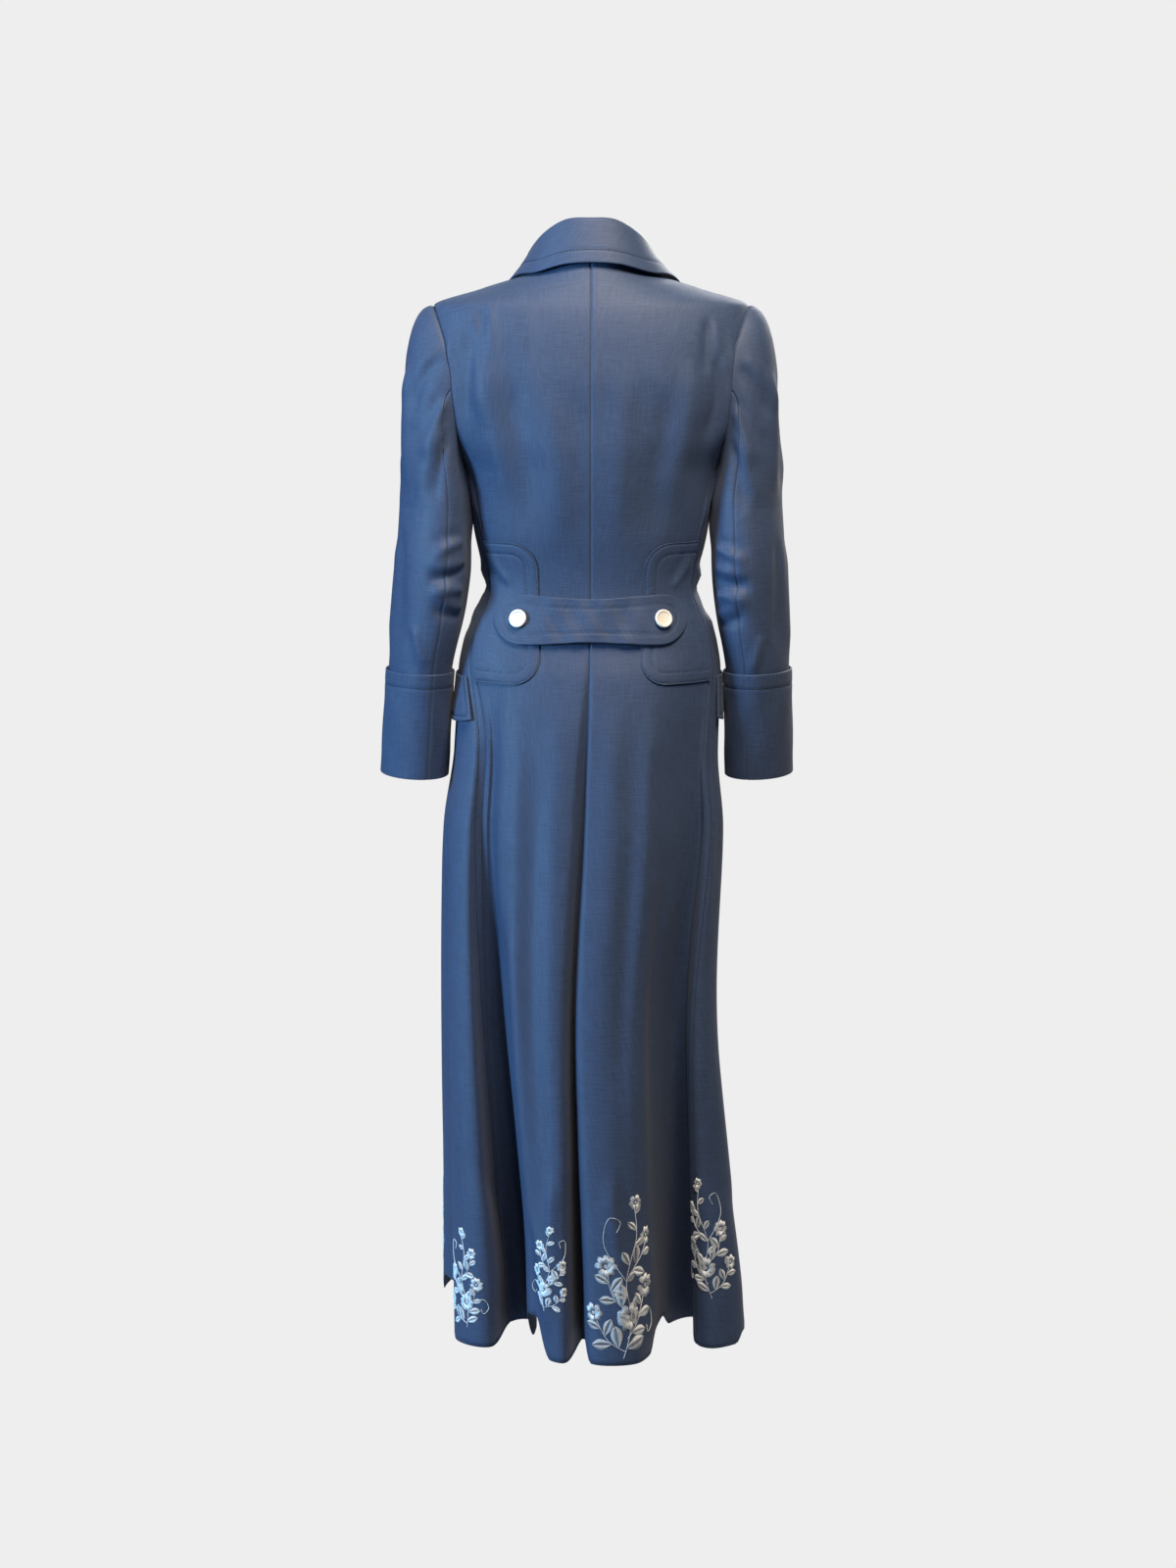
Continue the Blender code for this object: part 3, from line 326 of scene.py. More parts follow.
# Creases: each runs between two places on the surface. It widens along its way, has a shallow
# dip of the other sign beside it and fades at both ends.
# Body places are azimuths and heights. A positive height is a ridge and a negative one a trough.
Crease = namedtuple("Crease", "start start_z end end_z bow half_width height")
CREASE_WIDTHS = (0.6, 1.4)
CREASE_DIP = 0.45
CREASE_DIP_AT = 1.9
CREASE_DIP_SPREAD = 1.4
CREASE_FADES = (0.22, 0.30)
BODY_DEGREE = 0.0026
BODY_CREASES = (
    # Upper back
    Crease(41, 0.002, 42, -0.070, 0.002, 0.007, -0.0045),
    Crease(46, -0.015, 50, -0.150, 0.003, 0.009, -0.0051),
    Crease(55, -0.020, 62, -0.180, -0.004, 0.010, 0.0036),
    Crease(35, -0.045, 44, -0.250, 0.004, 0.017, 0.0039),
    Crease(24, -0.080, 29, -0.290, -0.003, 0.018, -0.0033),
    Crease(11, -0.090, 15, -0.320, 0.002, 0.014, 0.0027),
    Crease(-44, -0.012, -43, -0.090, -0.002, 0.008, -0.0045),
    Crease(-48, -0.050, -52, -0.175, -0.003, 0.009, -0.0045),
    Crease(-55, -0.030, -62, -0.190, 0.004, 0.010, 0.0039),
    Crease(-35, -0.060, -42, -0.260, -0.003, 0.017, 0.0033),
    Crease(-24, -0.090, -30, -0.300, 0.003, 0.017, -0.0030),
    Crease(-9, -0.070, -11, -0.310, 0.001, 0.013, 0.0024),
    # Waist at the back and sides
    Crease(44, -0.345, 62, -0.300, 0.003, 0.008, 0.0016),
    Crease(-44, -0.350, -61, -0.308, -0.003, 0.008, 0.0017),
    Crease(68, -0.318, 104, -0.336, 0.004, 0.008, 0.0024),
    Crease(66, -0.352, 108, -0.360, -0.003, 0.008, -0.0024),
    Crease(72, -0.388, 116, -0.376, 0.004, 0.009, 0.0022),
    Crease(-68, -0.326, -110, -0.340, -0.004, 0.008, 0.0024),
    Crease(-67, -0.362, -106, -0.354, 0.003, 0.008, -0.0023),
    Crease(-74, -0.396, -118, -0.390, -0.003, 0.009, 0.0020),
    Crease(80, -0.190, 70, -0.270, 0.003, 0.010, 0.0024),
    Crease(-82, -0.195, -70, -0.280, -0.003, 0.010, 0.0025),
    Crease(100, -0.200, 112, -0.300, 0.004, 0.011, -0.0024),
    Crease(-98, -0.205, -114, -0.295, -0.004, 0.011, -0.0024),
    # Skirt at the back
    Crease(10, -0.450, 10, -1.080, 0.003, 0.018, 0.0027),
    Crease(18, -0.560, 16, -1.280, -0.003, 0.016, -0.0027),
    Crease(29, -0.480, 27, -1.150, 0.004, 0.015, 0.0030),
    Crease(37, -0.720, 35, -1.300, 0.002, 0.016, -0.0070),
    Crease(57, -0.470, 58, -0.900, 0.002, 0.012, 0.0027),
    Crease(70, -0.640, 69, -1.260, 0.002, 0.010, -0.0024),
    Crease(-10, -0.460, -8, -1.000, 0.002, 0.016, 0.0027),
    Crease(-18, -0.620, -20, -1.290, 0.003, 0.016, -0.0030),
    Crease(-28, -0.470, -25, -1.120, -0.003, 0.016, 0.0030),
    Crease(-37, -0.650, -36, -1.270, 0.002, 0.012, -0.0027),
    Crease(-70, -0.560, -71, -1.100, 0.002, 0.010, 0.0024),
    # Short breaks near the hem
    Crease(9, -1.060, 20, -1.285, 0.006, 0.012, 0.0041),
    Crease(27, -1.120, 21, -1.290, -0.005, 0.012, -0.0038),
    Crease(74, -1.080, 70, -1.280, 0.005, 0.010, 0.0035),
    Crease(-12, -1.060, -19, -1.270, -0.006, 0.012, 0.0041),
    Crease(-25, -1.150, -21, -1.292, 0.005, 0.012, -0.0035),
    Crease(-73, -1.100, -76, -1.280, 0.004, 0.010, 0.0032),
    # Skirt at the sides and front
    Crease(96, -0.560, 98, -1.250, 0.006, 0.016, 0.0036),
    Crease(112, -0.540, 110, -1.200, -0.006, 0.017, -0.0036),
    Crease(130, -0.560, 132, -1.260, 0.005, 0.016, 0.0034),
    Crease(147, -0.500, 146, -1.240, -0.004, 0.015, -0.0030),
    Crease(158, -0.540, 160, -1.270, 0.005, 0.014, 0.0030),
    Crease(172, -0.560, 171, -1.200, -0.004, 0.015, -0.0026),
    Crease(-96, -0.550, -99, -1.240, -0.006, 0.016, 0.0036),
    Crease(-113, -0.580, -110, -1.260, 0.006, 0.017, -0.0034),
    Crease(-131, -0.540, -133, -1.220, -0.005, 0.016, 0.0034),
    Crease(-146, -0.520, -148, -1.260, 0.004, 0.015, -0.0030),
    Crease(-160, -0.560, -158, -1.250, -0.005, 0.014, 0.0030),
    # Chest and front waist
    Crease(128, -0.060, 136, -0.220, 0.005, 0.013, 0.0028),
    Crease(136, -0.080, 146, -0.270, 0.004, 0.014, -0.0028),
    Crease(-129, -0.070, -137, -0.230, -0.005, 0.013, 0.0028),
    Crease(-138, -0.090, -147, -0.280, -0.004, 0.014, -0.0028),
    Crease(160, -0.312, 138, -0.334, 0.004, 0.008, 0.0022),
    Crease(158, -0.402, 134, -0.384, -0.004, 0.008, 0.0022),
    Crease(-160, -0.308, -136, -0.328, -0.004, 0.008, 0.0023),
    Crease(-158, -0.404, -133, -0.392, 0.004, 0.008, 0.0022),
    Crease(174, -0.350, 152, -0.362, 0.003, 0.009, -0.0020),
    Crease(-172, -0.346, -150, -0.356, -0.003, 0.009, -0.0020),
)

# Sleeve places are angles round the arm, 0 outside and 90 at the back, and heights
SLEEVE_DEGREE = 0.00095
SLEEVE_CREASES = (
    Crease(78, -0.050, 24, -0.140, 0.004, 0.009, -0.0046),
    Crease(96, -0.105, 44, -0.190, -0.004, 0.010, 0.0046),
    Crease(104, -0.150, 60, -0.250, 0.004, 0.010, -0.0044),
    Crease(20, -0.060, 10, -0.230, 0.004, 0.013, 0.0035),
    Crease(-30, -0.060, -18, -0.250, -0.004, 0.014, -0.0035),
    Crease(-70, -0.090, -40, -0.230, 0.004, 0.011, 0.0040),
    Crease(128, -0.290, 62, -0.312, 0.005, 0.007, 0.0037),
    Crease(136, -0.322, 52, -0.336, -0.004, 0.007, -0.0044),
    Crease(132, -0.352, 58, -0.356, 0.004, 0.008, 0.0040),
    Crease(140, -0.384, 66, -0.372, -0.004, 0.007, -0.0037),
    Crease(210, -0.300, 280, -0.330, 0.004, 0.007, -0.0040),
    Crease(205, -0.340, 290, -0.352, -0.004, 0.007, 0.0044),
    Crease(208, -0.378, 276, -0.372, 0.004, 0.007, -0.0037),
    Crease(44, -0.395, 78, -0.452, 0.003, 0.008, 0.0030),
    Crease(8, -0.270, 22, -0.440, 0.004, 0.012, -0.0032),
    Crease(-36, -0.280, -26, -0.450, -0.004, 0.012, 0.0032),
    Crease(150, -0.170, 162, -0.300, 0.003, 0.014, 0.0037),
    Crease(160, -0.220, 176, -0.440, 0.004, 0.011, 0.0032),
)
RIGHT_SLEEVE_SHIFT = (7.0, -0.009)
SLEEVE_CREASE_FADES = (0.25, 0.20)

# White hem embroidery: sprays that grow up the skirt from a fold line and a height.
# The flat drawing of a spray is in metres, across and up from its foot.
Spray = namedtuple("Spray", "line z scale lean mirrored")
SPRAYS = (
    Spray(27.1, -1.294, 1.12, 6.0, False),
    Spray(22.1, -1.240, 0.84, -4.0, True),
    Spray(1.7, -1.240, 0.60, 8.0, True),
    Spray(6.6, -1.280, 0.70, -5.0, False),
    Spray(9.4, -1.262, 0.80, 5.0, True),
    Spray(13.4, -1.280, 0.95, -6.0, False),
    Spray(16.6, -1.275, 0.70, 7.0, True),
    Spray(19.2, -1.270, 0.85, -5.0, False),
)
STEMS = (
    ((0.000, 0.000), (0.007, 0.040), (-0.003, 0.085), (0.009, 0.130), (0.004, 0.166)),
    ((0.003, 0.022), (0.019, 0.044), (0.030, 0.074)),
    ((0.001, 0.052), (-0.017, 0.068), (-0.026, 0.097)),
    ((0.000, 0.092), (0.017, 0.106), (0.026, 0.130)),
    ((0.002, 0.008), (-0.020, 0.020), (-0.036, 0.044)),
)
STEM_LEAVES = (9, 5, 5, 4, 5)
STEM_SAMPLES = 200
STEM_OVERLAP = 1.35
LEAF_LENGTHS = (0.026, 0.014)
LEAF_SLANT = math.radians(52.0)
LEAF_START = 0.7
LEAF_TURNS = (0.8, 1.15)
LEAF_SIZES = (0.85, 1.1)
LEAF_STITCHED = (0.06, 0.98)
LEAF_WIDTH = 0.27
LEAF_BELLY = 0.85
LEAF_TIP = 0.5
RIB_HALF_WIDTH = 0.0003
TENDRILS = (
    ((0.018, 0.044), (0.040, 0.052), (0.048, 0.036), (0.038, 0.026), (0.034, 0.036)),
    ((-0.003, 0.085), (-0.030, 0.122), (-0.028, 0.152), (-0.014, 0.150), (-0.018, 0.138)),
)
Daisy = namedtuple("Daisy", "across up radius petals")
DAISIES = (
    Daisy(0.005, 0.046, 0.0170, 9),
    Daisy(0.031, 0.078, 0.0140, 8),
    Daisy(-0.027, 0.100, 0.0135, 8),
    Daisy(0.027, 0.133, 0.0110, 7),
    Daisy(-0.038, 0.047, 0.0115, 7),
    Daisy(0.005, 0.171, 0.0090, 6),
)
PETAL_STITCHES = 9
PETAL_JITTER = 0.3
PETAL_SPREAD = 0.80
PETAL_ROUND = 0.20
PETAL_START = 0.30
PETAL_REACHES = (0.93, 1.0)
EYE_STITCHES = 9
EYE_REACH = (0.04, 0.18)
SPRAY_MARGIN = 0.006
SPRAY_LINES = 3
SPRAY_SAMPLES = 600
SATIN_POINTS = 3
SATIN_ARCH = (0.4, 1.0)
SATIN_PITCH = 0.0011
SATIN_WIDTH = 0.00042
SATIN_LIFT = 0.00055
STEM_PITCH = 0.0030

# Colours
NAVY_DARK = (0.020, 0.040, 0.101, 1.0)
NAVY_LIGHT = (0.041, 0.075, 0.169, 1.0)
THREAD_NAVY = (0.004, 0.006, 0.014, 1.0)
THREAD_BLUE = (0.010, 0.016, 0.036, 1.0)
THREAD_GREY = (0.74, 0.80, 0.90, 1.0)
THREAD_WHITE = (0.86, 0.91, 0.98, 1.0)
BUTTON_SHADE = (0.74, 0.74, 0.71, 1.0)
BUTTON_WHITE = (0.84, 0.84, 0.82, 1.0)
SHEEN_TINT = (0.90, 0.93, 0.95, 1.0)
PALE = (0.855, 0.855, 0.855, 1.0)
FLOOR_GREY = (0.30, 0.30, 0.30, 1.0)
AMBIENT_TINT = (0.85, 0.90, 1.0, 1.0)

# Scales of the weave across the cloth and along it
WARP_SCALE = (640, 34, 1)
WEFT_SCALE = (40, 520, 1)
TWILL_SCALE = (330, 330, 1)

# Stage
FLOOR_Z = -1.385
FLOOR_HALF = 14.0
AMBIENT = 0.02
Lamp = namedtuple("Lamp", "name place aim size power colour")
LAMPS = (
    Lamp("key", (2.95, 1.40, 0.20), (0.0, 0.0, -0.6), 0.9, 136.0, (0.36, 0.71, 1.0)),
    Lamp("top", (-0.3, 1.1, 1.5), (0.0, 0.0, 0.0), 0.9, 84.0, (1.0, 0.82, 0.61)),
    Lamp("front", (-1.6, -3.2, 1.4), (0.0, 0.0, -0.6), 2.0, 130.0, (1.0, 0.99, 0.97)),
)
CAMERA_PLACE = (0.0, 4.0, 0.05)
CAMERA_TILT = 80.67
CAMERA_HEADING = 180.0
CAMERA_SENSOR = 36.0
CAMERA_LENS = 72.54
CAMERA_SHIFT = -0.0019

# Sides and directions
SIDES = {"left": 1, "right": -1}
UP = np.array([0.0, 0.0, 1.0])
LEVEL = np.array([1.0, 1.0, 0.0])


class SmoothTable:
    """The columns of a table as smooth curves of its first column, with no overshoot."""

    def __init__(self, rows):
        ordered = np.array(sorted(rows), float)
        self.fields = rows[0]._fields
        self.knots = ordered[:, 0]
        self.values = ordered
        steps = np.diff(self.knots)[:, None]
        rises = np.diff(ordered, axis=0) / steps
        slopes = np.vstack([rises[:1], (rises[:-1] + rises[1:]) / 2, rises[-1:]])
        ahead = 2 * steps[1:] + steps[:-1]
        behind = steps[1:] + 2 * steps[:-1]
        same_way = rises[:-1] * rises[1:] > 0
        safe_low = np.where(same_way, rises[:-1], 1.0)
        safe_high = np.where(same_way, rises[1:], 1.0)
        mean = (ahead + behind) / (ahead / safe_low + behind / safe_high)
        slopes[1:-1] = np.where(same_way, mean, 0.0)
        self.slopes = slopes

    def at(self, field, where):
        """The value of one column at the given places of the first column."""
        column = self.fields.index(field)
        where = np.asarray(where, float)
        low = np.clip(np.searchsorted(self.knots, where) - 1, 0, len(self.knots) - 2)
        step = self.knots[low + 1] - self.knots[low]
        s = np.clip((where - self.knots[low]) / step, 0.0, 1.0)
        start = self.values[low, column]
        end = self.values[low + 1, column]
        start_slope = self.slopes[low, column] * step
        end_slope = self.slopes[low + 1, column] * step
        eased = s * s * (3 - 2 * s)
        bend = start_slope * s * (1 - s) ** 2 - end_slope * s * s * (1 - s)
        return start + (end - start) * eased + bend


HipRow = namedtuple("HipRow", "line azimuth drift")
HIP_ROWS = [
    HipRow(turn * FOLD_COUNT + line, fold.waist_azimuth + 360.0 * turn, fold.drift)
    for turn in (-1, 0, 1)
    for line, fold in enumerate(FOLDS)
]
section = SmoothTable(SECTIONS).at
arm_ring = SmoothTable(ARM_RINGS).at
hip = SmoothTable(HIP_ROWS).at
HEM_POINTS = np.array([(fold.hem_x, fold.hem_y) for fold in FOLDS])


def ease(s):
    """0 to 1 with a level start and end."""
    s = np.clip(s, 0.0, 1.0)
    return s * s * (3 - 2 * s)


def mix(ends, share):
    """From the first of two values to the second."""
    return ends[0] + (ends[1] - ends[0]) * share


def share_of(value, low, high):
    """How far a value lies from the first of two limits to the second."""
    return np.clip((value - low) / (high - low), 0.0, 1.0)


def unit(vectors):
    return vectors / np.linalg.norm(vectors, axis=-1, keepdims=True)


def lifted(points, normals, height):
    """Points moved out along their normals."""
    return points + normals * height[..., None]


def wrapped(value, period):
    """A value on a circle as the shorter way round from 0."""
    return (value + period / 2) % period - period / 2


def travelled(path):
    """Each point's distance along a path from its first point."""
    return np.concatenate([[0.0], np.cumsum(np.linalg.norm(np.diff(path, axis=0), axis=-1))])


def spline(before, here, there, after, s):
    """A smooth curve from the second of four points to the third."""
    line = 2 * here + (there - before) * s
    curve = (2 * before - 5 * here + 4 * there - after) * s**2
    twist = (3 * here - before - 3 * there + after) * s**3
    return (line + curve + twist) / 2


def through(points, where):
    """A smooth curve through a row of points, read at places counted in points."""
    last = len(points) - 1
    start = np.clip(np.floor(where).astype(int), 0, last - 1)
    nearby = [points[np.clip(start + k, 0, last)] for k in (-1, 0, 1, 2)]
    return spline(*nearby, (where - start)[:, None])


def spaced(length, step):
    """Places along a length, closer together near both ends."""
    near = np.array(EDGE_STEPS)
    count = max(2, round((length - 2 * near[-1]) / step) + 1)
    inner = np.linspace(near[-1], length - near[-1], count)
    return np.concatenate([near[:-1], inner, length - near[-2::-1]])


def shares(length, step):
    """Places along a length as shares of it, closer together near both ends."""
    return spaced(length, step) / length


# The form of the body


def side_of(y, z):
    """The depth of the section on the side where y lies."""
    return np.where(y >= 0, section("back", z), section("front", z))


def depth_at(x, z, front):
    """How far the unfolded cloth lies from the middle plane, at a place in the front view."""
    power = section("power", z)
    depth = section("front" if front else "back", z)
    share = np.abs(x - section("sway", z)) / section("half_width", z)
    return depth * np.clip(1 - share**power, 0.0, 1.0) ** (1 / power)


def reach_at(y, z):
    """How far out the unfolded cloth lies, at a place in the side view."""
    power = section("power", z)
    share = np.abs(y) / side_of(y, z)
    return section("half_width", z) * np.clip(1 - share**power, 0.0, 1.0) ** (1 / power)


def section_point(azimuth, z):
    """A point of the unfolded cloth. Azimuth 0 is the centre back and 90 the wearer's left."""
    turn = np.radians(azimuth)
    power = 2 / section("power", z)
    across = np.sign(np.sin(turn)) * np.abs(np.sin(turn)) ** power
    along = np.sign(np.cos(turn)) * np.abs(np.cos(turn)) ** power
    x = section("half_width", z) * across + section("sway", z)
    y = side_of(np.cos(turn), z) * along
    return np.stack(np.broadcast_arrays(x, y, z), axis=-1)


def azimuth_of(points):
    """The azimuth of points of the unfolded cloth."""
    x, y, z = np.moveaxis(points, -1, 0)
    power = section("power", z) / 2
    out = x - section("sway", z)
    across = np.sign(out) * (np.abs(out) / section("half_width", z)) ** power
    along = np.sign(y) * (np.abs(y) / side_of(y, z)) ** power
    return np.degrees(np.arctan2(across, along))


def hem_point(line):
    """The hem's outline at a place counted in fold lines."""
    start = np.floor(line).astype(int)
    nearby = [HEM_POINTS[(start + k) % FOLD_COUNT] for k in (-1, 0, 1, 2)]
    return spline(*nearby, (line - start)[..., None])


def hem_height(line):
    """The hem's height, raised where it is cut away."""
    rise = np.zeros_like(line)
    for cut in HEM_CUTS:
        away = np.abs(wrapped(line - cut.at, FOLD_COUNT))
        rise = np.maximum(rise, cut.rise * ease(HEM_CUT_STEEPNESS * (1 - away / cut.half_width)))
    return HEM_Z + rise


def skirt_point(line, z):
    """A point of the cloth below the waist: the section, drawn towards the folded hem."""
    growth = np.clip((FOLD_START_Z - z) / (FOLD_START_Z - HEM_Z), 0.0, FOLD_GROWTH_LIMIT) ** FOLD_GROWTH
    drift = hip("drift", line) * ease((DRIFT_START_Z - z) / DRIFT_RUN)
    points = section_point(hip("azimuth", line) + drift, z)
    points[..., :2] += (hem_point(line) - points[..., :2]) * growth[..., None]
    return points


def skirt_normal(line, z):
    """Outward normals of the skirt."""
    aside, up = 0.01, 0.001
    around = skirt_point(line + aside, z) - skirt_point(line - aside, z)
    rise = skirt_point(line, z + up) - skirt_point(line, z - up)
    return unit(np.cross(rise, around))


def body_normal(points):
    """Outward normals of the unfolded cloth."""

    def fullness(p):
        power = section("power", p[..., 2])
        x = np.abs(p[..., 0] - section("sway", p[..., 2]))
        wide = (x / section("half_width", p[..., 2])) ** power
        deep = (np.abs(p[..., 1]) / side_of(p[..., 1], p[..., 2])) ** power
        return wide + deep

    step = 0.0004
    nudges = np.eye(3) * step
    slope = [fullness(points + nudge) - fullness(points - nudge) for nudge in nudges]
    return unit(np.stack(slope, axis=-1))


def armhole(angle):
    """The armhole's edge on the wearer's left. Angle 0 is its top and 90 its back."""
    turn = np.radians(angle)
    y = np.where(np.sin(turn) >= 0, ARMHOLE_BACK, ARMHOLE_FRONT) * np.sin(turn)
    z = (np.cos(turn) - 1) * ARMHOLE_DROP / 2
    return np.stack([reach_at(y, z), y, z], axis=-1)


def roll_line(share):
    """The lapel's fold in the front view on the wearer's left, from the neck to the break."""
    return mix((NECK_HALF_WIDTH, -FRONT_LAP), share), mix((NECK_SIDE_Z, BREAK_Z), share)


def roll_line_x(z):
    """The fold's place across the front at a height."""
    return mix((NECK_HALF_WIDTH, -FRONT_LAP), share_of(z, NECK_SIDE_Z, BREAK_Z))


def shoulder_point(share):
    """The shoulder seam, from the neck to the tip."""
    z = mix((NECK_SIDE_Z, 0.0), share)
    return np.stack([section("half_width", z), np.zeros_like(z), z], axis=-1)


def neck_point(share):
    """The back neck seam, from the centre to the shoulder seam."""
    turn = share * math.pi / 2
    x = NECK_HALF_WIDTH * np.sin(turn)
    z = NAPE_Z - (NAPE_Z - NECK_SIDE_Z) * (1 - np.cos(turn))
    return np.stack([x, depth_at(x, z, False), z], axis=-1)


def fold_edge_point(share):
    """The edge of the front where the lapel folds back."""
    x, z = roll_line(share)
    return np.stack([x, -depth_at(x, z, True), z], axis=-1)


def seam_columns(azimuth, angle):
    """Columns of the cloth from the waist to the armhole, on the wearer's left."""
    foot = section_point(azimuth, np.full_like(azimuth, BODICE_Z))
    rise = np.linspace(0, 1, SEAM_ROWS + 1)[:, None, None]
    line = foot + (armhole(angle) - foot) * rise
    y, z = line[..., 1], line[..., 2]
    return np.stack([reach_at(y, z), y, z], axis=-1)


def arm_edge(azimuth, angle, top_angle):
    """A panel's edge beside the arm: up a seam from the waist, then along the armhole to its top."""
    seam = seam_columns(np.array([azimuth]), np.array([angle]))[:, 0]
    steps = round(abs(top_angle - angle) / ARMHOLE_STEP)
    return np.concatenate([seam, armhole(np.linspace(angle, top_angle, steps + 1)[1:])])


def filled(bottom, top, start, end, across):
    """The front view of a grid between its four edges, its columns spread by their share across."""
    up = np.linspace(0, 1, len(start))[:, None, None]
    across = across[:, None]
    sides = start[:, None] * (1 - across) + end[:, None] * across
    ends = bottom * (1 - up) + top * up
    near = bottom[0] * (1 - up) + top[0] * up
    far = bottom[-1] * (1 - up) + top[-1] * up
    return sides + ends - near * (1 - across) - far * across


def back_points(azimuth):
    """The back from the waist to the neck and shoulder, on the wearer's left."""
    arm = arm_edge(BACK_SEAM_AZIMUTH, ARMHOLE_BACK_SEAM, 0.0)
    middle_z = mix((BODICE_Z, NAPE_Z), arm[:, 2] / -BODICE_Z + 1)
    centre = np.zeros_like(middle_z)
    middle = np.stack([centre, depth_at(centre, middle_z, False), middle_z], axis=-1)
    neck = neck_point(share_of(azimuth, 0.0, NECK_AZIMUTH))
    shoulder = shoulder_point(share_of(azimuth, NECK_AZIMUTH, BACK_SEAM_AZIMUTH))
    top = np.where((azimuth <= NECK_AZIMUTH)[:, None], neck, shoulder)
    bottom = section_point(azimuth, np.full_like(azimuth, BODICE_Z))
    grid = filled(bottom, top, middle, arm, share_of(azimuth, 0.0, BACK_SEAM_AZIMUTH))
    grid[..., 1] = depth_at(grid[..., 0], grid[..., 2], False)
    return grid


def front_points(azimuth):
    """The front from the waist to the shoulder and the lapel's fold, on the wearer's left."""
    arm = arm_edge(SIDE_SEAM_AZIMUTH, ARMHOLE_SIDE_SEAM, 360.0)
    shoulder = shoulder_point(1 - share_of(azimuth, SIDE_SEAM_AZIMUTH, FRONT_NECK_AZIMUTH))
    fold = fold_edge_point(share_of(azimuth, FRONT_NECK_AZIMUTH, FRONT_EDGE_AZIMUTH))
    top = np.where((azimuth <= FRONT_NECK_AZIMUTH)[:, None], shoulder, fold)
    bottom = section_point(azimuth, np.full_like(azimuth, BODICE_Z))
    edge = mix((bottom[-1], top[-1]), np.linspace(0, 1, len(arm))[:, None])
    grid = filled(bottom, top, arm, edge, share_of(azimuth, SIDE_SEAM_AZIMUTH, FRONT_EDGE_AZIMUTH))
    grid[..., 1] = -depth_at(grid[..., 0], grid[..., 2], True)
    return grid


def side_points(azimuth):
    """The side from the waist to under the arm, on the wearer's left."""
    across = share_of(azimuth, BACK_SEAM_AZIMUTH, SIDE_SEAM_AZIMUTH)
    return seam_columns(azimuth, mix((ARMHOLE_BACK_SEAM, ARMHOLE_SIDE_SEAM), across))


BODICES = {"back": back_points, "side": side_points, "front": front_points}


def on_side(points, side):
    """A grid made for the wearer's left, or its mirror image on the right."""
    return points if side == "left" else points[:, ::-1] * np.array([-1.0, 1.0, 1.0])


def lap_tuck(points):
    """How far the under front lies behind the lap of the other front."""
    z = points[..., 2]
    below = skirt_point(np.full_like(z, RIGHT_LAP_END), np.minimum(z, BODICE_Z))[..., 0]
    edge = np.where(z < BREAK_Z, below, -roll_line_x(z))
    return LAP_STEP * ease((edge + LAP_MARGIN - points[..., 0]) / LAP_RAMP)


# Creases


def relief(place, z, creases, degree, shift=(0.0, 0.0)):
    """How far the creases raise the cloth at places on it."""
    raised = np.zeros_like(z)
    for crease in creases:
        aside = wrapped(place - crease.start - shift[0], 360.0) * degree
        up = z - crease.start_z - shift[1]
        run = wrapped(crease.end - crease.start, 360.0) * degree
        rise = crease.end_z - crease.start_z
        length = math.hypot(run, rise)
        along = (aside * run + up * rise) / length**2
        off = (aside * rise - up * run) / length - 4 * crease.bow * along * (1 - along)
        off = off / (crease.half_width * mix(CREASE_WIDTHS, np.clip(along, 0.0, 1.0)))
        dip = CREASE_DIP * np.exp(-((off - CREASE_DIP_AT) ** 2) / CREASE_DIP_SPREAD)
        fade = ease(along / CREASE_FADES[0]) * ease((1 - along) / CREASE_FADES[1])
        raised += crease.height * (np.exp(-(off**2)) - dip) * fade
    return raised


def body_relief(azimuth, z):
    """How far the creases raise the cloth of the body."""
    return relief(azimuth, z, BODY_CREASES, BODY_DEGREE)


def waved(waves, along, up):
    """How far soft waves raise the cloth at places along a piece and up it."""
    return sum(wave.height * np.sin(wave.along * along + wave.up * up + wave.phase) for wave in waves)


def skirt_surface(line, z):
    """Points and normals of the skirt's visible cloth, creases included."""
    normals = skirt_normal(line, z)
    return lifted(skirt_point(line, z), normals, body_relief(hip("azimuth", line), z)), normals


# Shells


def arc_from(points, axis, end=False):
    """Each point's distance along its row or column from the first edge, or from the last."""
    steps = np.linalg.norm(np.diff(points, axis=axis), axis=-1)
    length = np.concatenate([np.zeros_like(np.take(steps, [0], axis)), np.cumsum(steps, axis)], axis)
    return np.take(length, [-1], axis) - length if end else length


EDGE_AXES = {"bottom": (0, False), "top": (0, True), "start": (1, False), "end": (1, True)}
ALL_EDGES = tuple(EDGE_AXES)


def from_edges(points, edges):
    """Each point's distance from the nearest of the named edges."""
    away = np.full(points.shape[:2], np.inf)
    for edge in edges:
        away = np.minimum(away, arc_from(points, *EDGE_AXES[edge]))
    return away


def seam_dip(away):
    """How far cloth sinks towards a seam."""
    return SEAM_DROP * np.clip(1 - away / SEAM_WIDTH, 0.0, 1.0) ** 2


def groove(away, inset):
    """How far a line of stitches pulls the cloth in, at a distance from an edge."""
    return GROOVE_DEPTH * np.exp(-(((away - inset) / GROOVE_WIDTH) ** 2))


def flat_size(points):
    """Width, length and area of the cloth laid flat."""
    width = arc_from(points, 1)[:, -1].max()
    length = arc_from(points, 0)[-1].max()
    across = points[1:, 1:] - points[:-1, :-1]
    other = points[1:, :-1] - points[:-1, 1:]
    area = np.linalg.norm(np.cross(across, other), axis=-1).sum() / 2
    return (float(width), float(length)), float(min(area, width * length))


